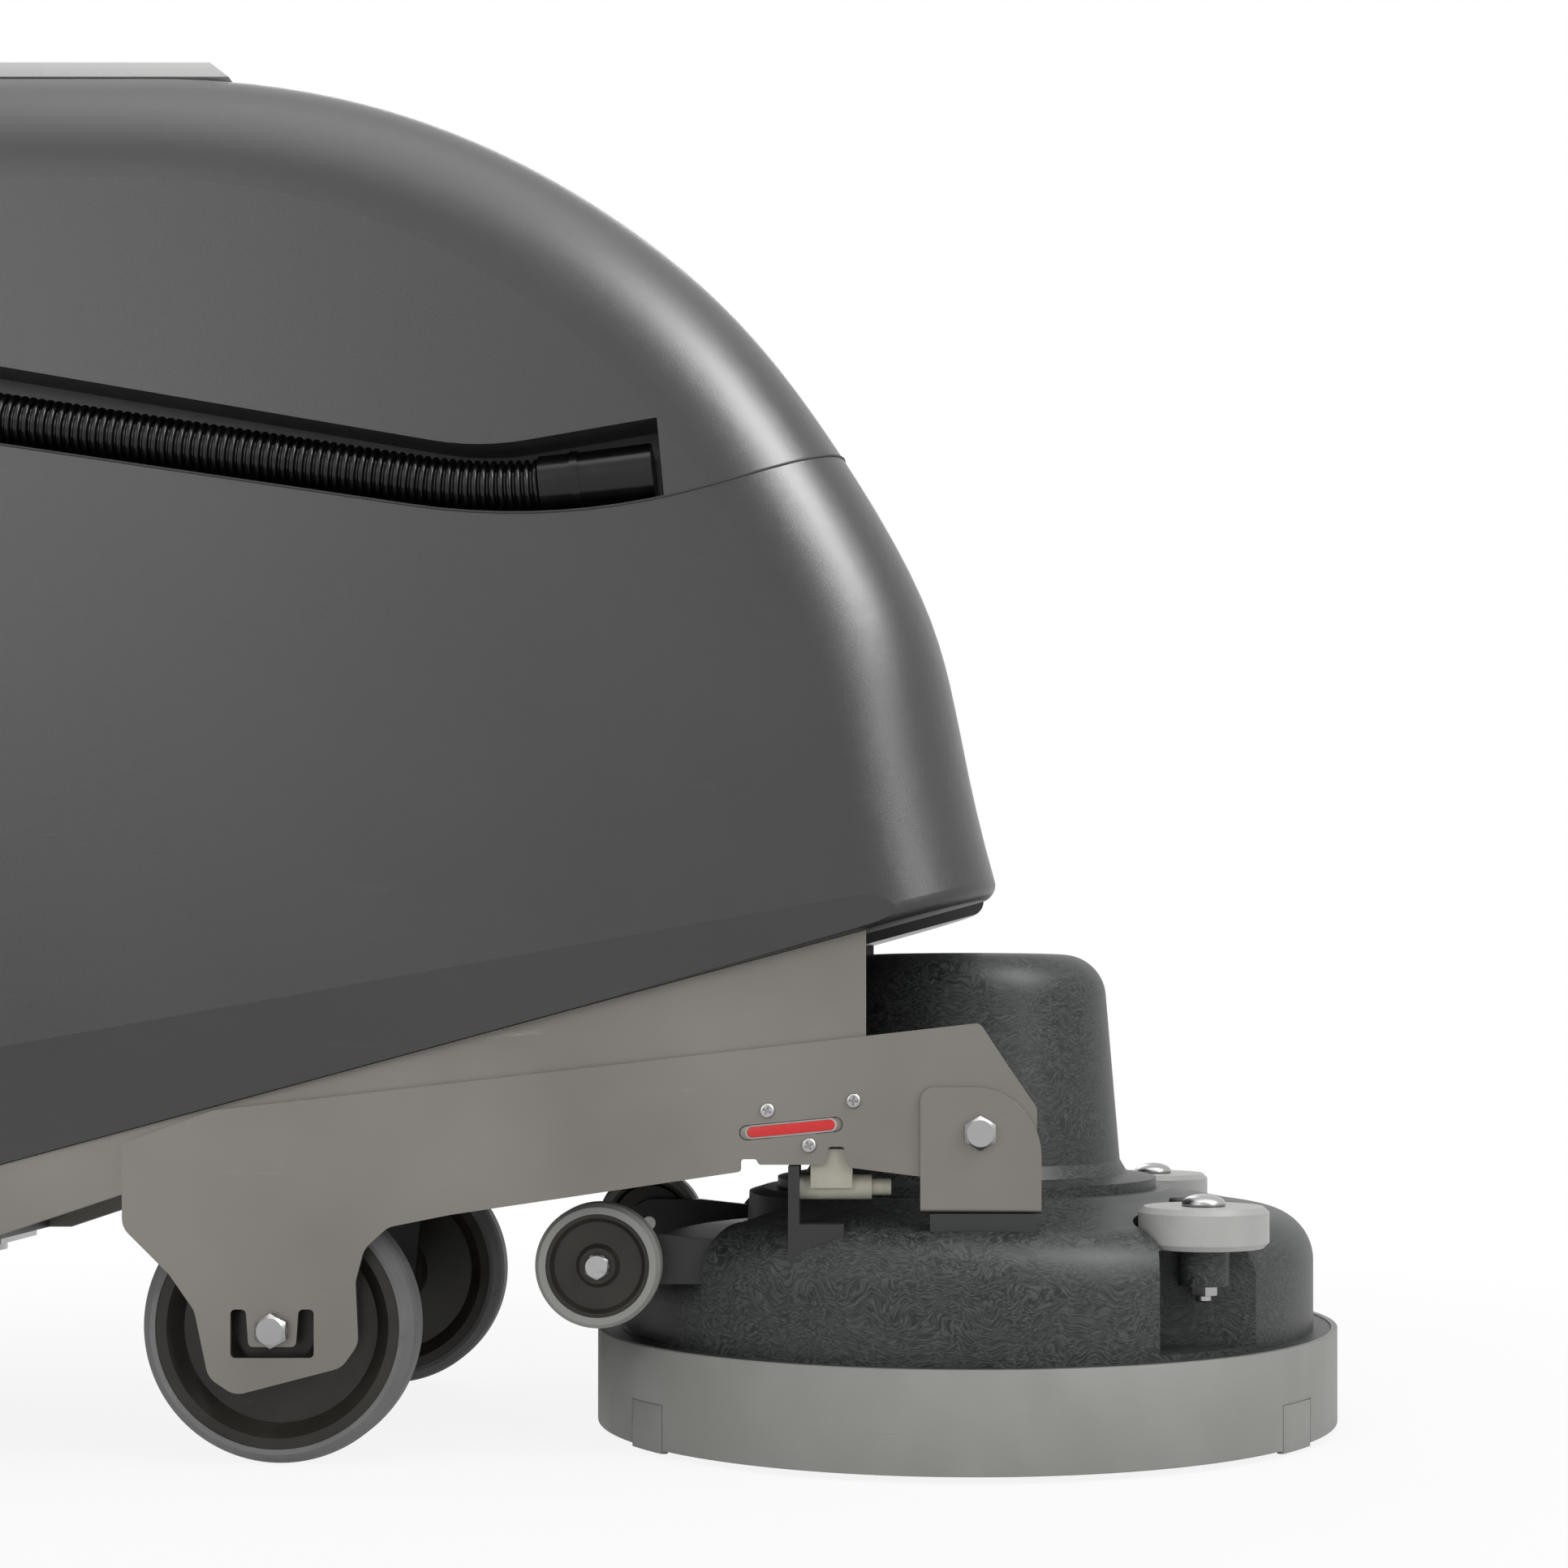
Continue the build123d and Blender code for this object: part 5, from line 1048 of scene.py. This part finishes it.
def makeGaugeGlass(look):
    material, tree, shader = startMaterial(
        "gaugeGlass", {"Metallic": 0.0, "Coat Weight": look["coat"], "Coat Roughness": look["coatRough"]})
    blotch = putGrain(tree, look).outputs["Blotch"]
    tree.links.new(mixColours(tree, blotch, look["dark"], look["light"]), shader.inputs["Base Color"])
    tree.links.new(rangeOf(tree, blotch, *look["rough"]), shader.inputs["Roughness"])
    return material


materials["gaugeGlass"] = makeGaugeGlass(glassLook)
makeGauge(panelLook)
makeRockers(panelLook)
makeKeySwitch(panelLook)
print("console panel made")


# recovery lid: the frame's lid with a moulded groove and soft edges

lidLook = {"middle": (-0.31, 0), "half": (0.118, 0.136), "corner": 0.03, "wide": 0.005, "deep": 0.0016,
           "ringHigh": 0.01, "coreHigh": 0.02, "coreDrop": 0.004, "lift": 0.0005,
           "edge": 0.0022, "segments": 3, "edgeFrom": math.radians(50), "smooth": 32}


def ringCutter(look, top):
    wide = look["wide"]
    outer = flatBlock((0, 0), [2 * half for half in look["half"]], look["ringHigh"], look["corner"])
    inner = flatBlock((0, 0), [2 * (half - wide) for half in look["half"]], look["coreHigh"],
                      look["corner"] - wide)
    cutWith(outer, putAt(inner, (0, 0, -look["coreDrop"])), "DIFFERENCE")
    return putAt(outer, (*look["middle"], top - look["deep"] + look["lift"]))


def makeLid(look):
    lid = copyNode("recoveryLid", "recovery_lid")
    top = max(point.co.z for point in lid.data.vertices if point.co.x > look["middle"][0])
    cutWith(lid, ringCutter(look, top), "DIFFERENCE")
    addModifier(lid, "softEdge", "BEVEL", width=look["edge"], segments=look["segments"],
                limit_method="ANGLE", angle_limit=look["edgeFrom"])
    applyModifiers(lid)
    cleanMesh(lid)
    lid = finishPiece("recoveryLid", [lid], look["smooth"], "lid", "lid_plastic")
    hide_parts("recovery_lid")


makeLid(lidLook)
print("recovery lid made")


# squeegee fixings: two lobed knobs and a row of small hex screws along the bar

squeegeeLook = {
    "centreX": 0.01, "radius": 0.675, "top": 0.076, "knobY": (-0.15, 0.15), "smooth": 35,
    "knob": {"radius": 0.019, "lobes": 6, "lobeSides": 8, "dip": 0.8, "low": 0.006, "high": 0.021,
             "topEdge": 0.003, "footEdge": 0.001, "neck": 0.008, "flare": 1.3, "neckFoot": -0.001,
             "flareLow": 0.001, "flareHigh": 0.0005, "neckSteps": 28},
    "screwY": (-0.33, -0.27, -0.21, -0.105, 0.105, 0.21, 0.27, 0.33), "screwTurn": 5,
    "screw": {"flats": 0.01, "washer": 0.0072, "washerThick": 0.001, "head": 0.004, "shank": 0.003,
              "shankLength": 0.002, "chamfer": 0.0009},
}


def onSqueegee(look, y):
    return (look["centreX"] - math.sqrt(look["radius"] ** 2 - y ** 2), y, look["top"])


def makeKnob(knob):
    bpy.ops.mesh.primitive_circle_add(
        vertices=knob["lobes"] * knob["lobeSides"], radius=knob["radius"], location=(0, 0, knob["low"]))
    head = settle(bpy.context.object)
    for vertex in head.data.vertices:
        turn = math.atan2(vertex.co.y, vertex.co.x) * knob["lobes"]
        vertex.co.xy *= 1 - (1 - knob["dip"]) * (0.5 - 0.5 * math.cos(turn))
    startEdit(head)
    bpy.ops.mesh.edge_face_add()
    pushOut((0, 0, knob["high"] - knob["low"]))
    endEdit()
    cleanMesh(head)
    bevelRim(head, lambda at: at.z > knob["high"] - hair, knob["topEdge"], 3)
    bevelRim(head, lambda at: at.z < knob["low"] + hair, knob["footEdge"], 2)
    reach, foot = knob["neck"], knob["neckFoot"]
    flareTop = knob["low"] + knob["flareHigh"]
    neck = turnedPiece([(0, foot), (reach, foot), (reach, knob["low"] - knob["flareLow"]),
                        (reach * knob["flare"], flareTop), (0, flareTop)], knob["neckSteps"])
    return joinInto("knobTemplate", [head, neck])


def makeSqueegeeFixings(look):
    places = [(onSqueegee(look, y), noTurn) for y in look["knobY"]]
    knobs = spreadOut(makeKnob(look["knob"]), places)
    finishPiece("squeegeeKnobs", knobs, look["smooth"], "squeegee", "console_black")
    screw = putAt(makeBolt(look["screw"]), (0, 0, 0), (-math.pi / 2, 0, 0))
    places = [(onSqueegee(look, y), (0, 0, look["screwTurn"] * y)) for y in look["screwY"]]
    finishPiece("squeegeeScrews", spreadOut(screw, places), boltForm["smooth"], "squeegee", "zinc_bolt")


makeSqueegeeFixings(squeegeeLook)
print("squeegee fixings made")


# floor, light and camera

stageLook = {"half": 9.0, "drop": 0.0005, "floor": (0.86, 0.86, 0.86), "rough": 0.9, "nearGlow": 0.88,
             "fadeFrom": 0.75, "fadeTo": 1.6}


def makeStage(look):
    bpy.ops.mesh.primitive_plane_add(size=2 * look["half"], location=(0, 0, -look["drop"]))
    floor = settle(bpy.context.object)
    floor.name = "paleFloor"
    material, tree, shader = startMaterial(
        "paleFloor", {"Roughness": look["rough"], "Base Color": (*look["floor"], 1)})
    path = putNode(tree, "LightPath")
    glow = putNode(tree, "Emission", {"Color": (1, 1, 1, 1), "Strength": 1.0})
    blend = putNode(tree, "MixShader")
    place = putNode(tree, "TexCoord")
    away = putNode(tree, "VectorMath", operation="LENGTH")
    fade = putNode(tree, "MapRange", {"From Min": look["fadeFrom"], "From Max": look["fadeTo"],
                                                "To Min": look["nearGlow"], "To Max": 1.0})
    seen = putNode(tree, "Math", operation="MULTIPLY")
    wire(tree, (place, "Object", away, 0), (away, "Value", fade, "Value"), (fade, "Result", seen, 1))
    watched = putNode(tree, "Math", operation="MAXIMUM")
    wire(tree, (path, "Is Camera Ray", watched, 0), (path, "Is Glossy Ray", watched, 1),
         (watched, "Value", seen, 0), (seen, "Value", blend, "Fac"), (shader, "BSDF", blend, 1),
         (glow, "Emission", blend, 2))
    tree.links.new(blend.outputs["Shader"], tree.nodes["Material Output"].inputs["Surface"])
    floor.data.materials.append(material)


worldLook = {"seen": (1.0, 1.0, 1.0), "fill": (0.36, 0.36, 0.36)}


def makeWorld(look):
    world = bpy.data.worlds.new("studioWhite")
    bpy.context.scene.world = world
    world.use_nodes = True
    tree = world.node_tree
    tree.nodes.clear()
    path = putNode(tree, "LightPath")
    either = putNode(tree, "Math", operation="MAXIMUM")
    every = putNode(tree, "Math", operation="MAXIMUM")
    fill = putNode(tree, "Background", {"Color": (*look["fill"], 1), "Strength": 1.0})
    seen = putNode(tree, "Background", {"Color": (*look["seen"], 1), "Strength": 1.0})
    blend = putNode(tree, "MixShader")
    leave = putNode(tree, "OutputWorld")
    wire(tree, (path, "Is Camera Ray", either, 0), (path, "Is Glossy Ray", either, 1),
         (either, "Value", every, 0), (path, "Is Transmission Ray", every, 1),
         (every, "Value", blend, "Fac"), (fill, "Background", blend, 1), (seen, "Background", blend, 2),
         (blend, "Shader", leave, "Surface"))


lampLook = {
    "topBox": {"at": (0.2, -0.6, 3.2), "aim": (0.1, 0, 0.6), "size": (3.0, 2.2), "power": 34},
    "frontBox": {"at": (2.6, -2.2, 1.5), "aim": (0.3, 0, 0.6), "size": (0.7, 2.0), "power": 32},
    "sheenBox": {"at": (1.9, -1.02, 2.42), "aim": (0.28, -0.19, 0.7), "size": (0.9, 1.5), "power": 85,
                 "sheenOnly": True},
    "sideBox": {"at": (-1.6, -3.0, 1.6), "aim": (0, 0, 0.5), "size": (1.6, 1.6), "power": 20},
    "backBox": {"at": (-0.5, 3.0, 2.0), "aim": (0, 0, 0.5), "size": (2.0, 1.6), "power": 22},
}


def makeLamps(look):
    for name, lamp in look.items():
        at = Vector(lamp["at"])
        turn = (Vector(lamp["aim"]) - at).to_track_quat("-Z", "Y").to_euler()
        bpy.ops.object.light_add(type="AREA", location=at, rotation=turn)
        light = bpy.context.object
        light.name = name
        light.data.shape = "RECTANGLE"
        light.data.size, light.data.size_y = lamp["size"]
        light.data.energy = lamp["power"]
        light.visible_diffuse = not lamp.get("sheenOnly", False)


# the photo is part of a wider level picture, hence the shift
cameraLook = {"at": (0.353, -2.1, 0.33), "lens": 59.4, "sensor": 36, "shiftX": -0.0771, "shiftY": 0.1444}


def makeCamera(look):
    bpy.ops.object.camera_add(location=look["at"], rotation=(math.radians(90), 0, 0))
    camera = bpy.context.object
    camera.name = "photoCamera"
    camera.data.sensor_width = look["sensor"]
    camera.data.lens = look["lens"]
    camera.data.shift_x = look["shiftX"]
    camera.data.shift_y = look["shiftY"]
    bpy.context.scene.camera = camera


makeStage(stageLook)
makeWorld(worldLook)
makeLamps(lampLook)
makeCamera(cameraLook)
bpy.context.scene.view_settings.view_transform = "Standard"
print("stage, lamps and camera set")
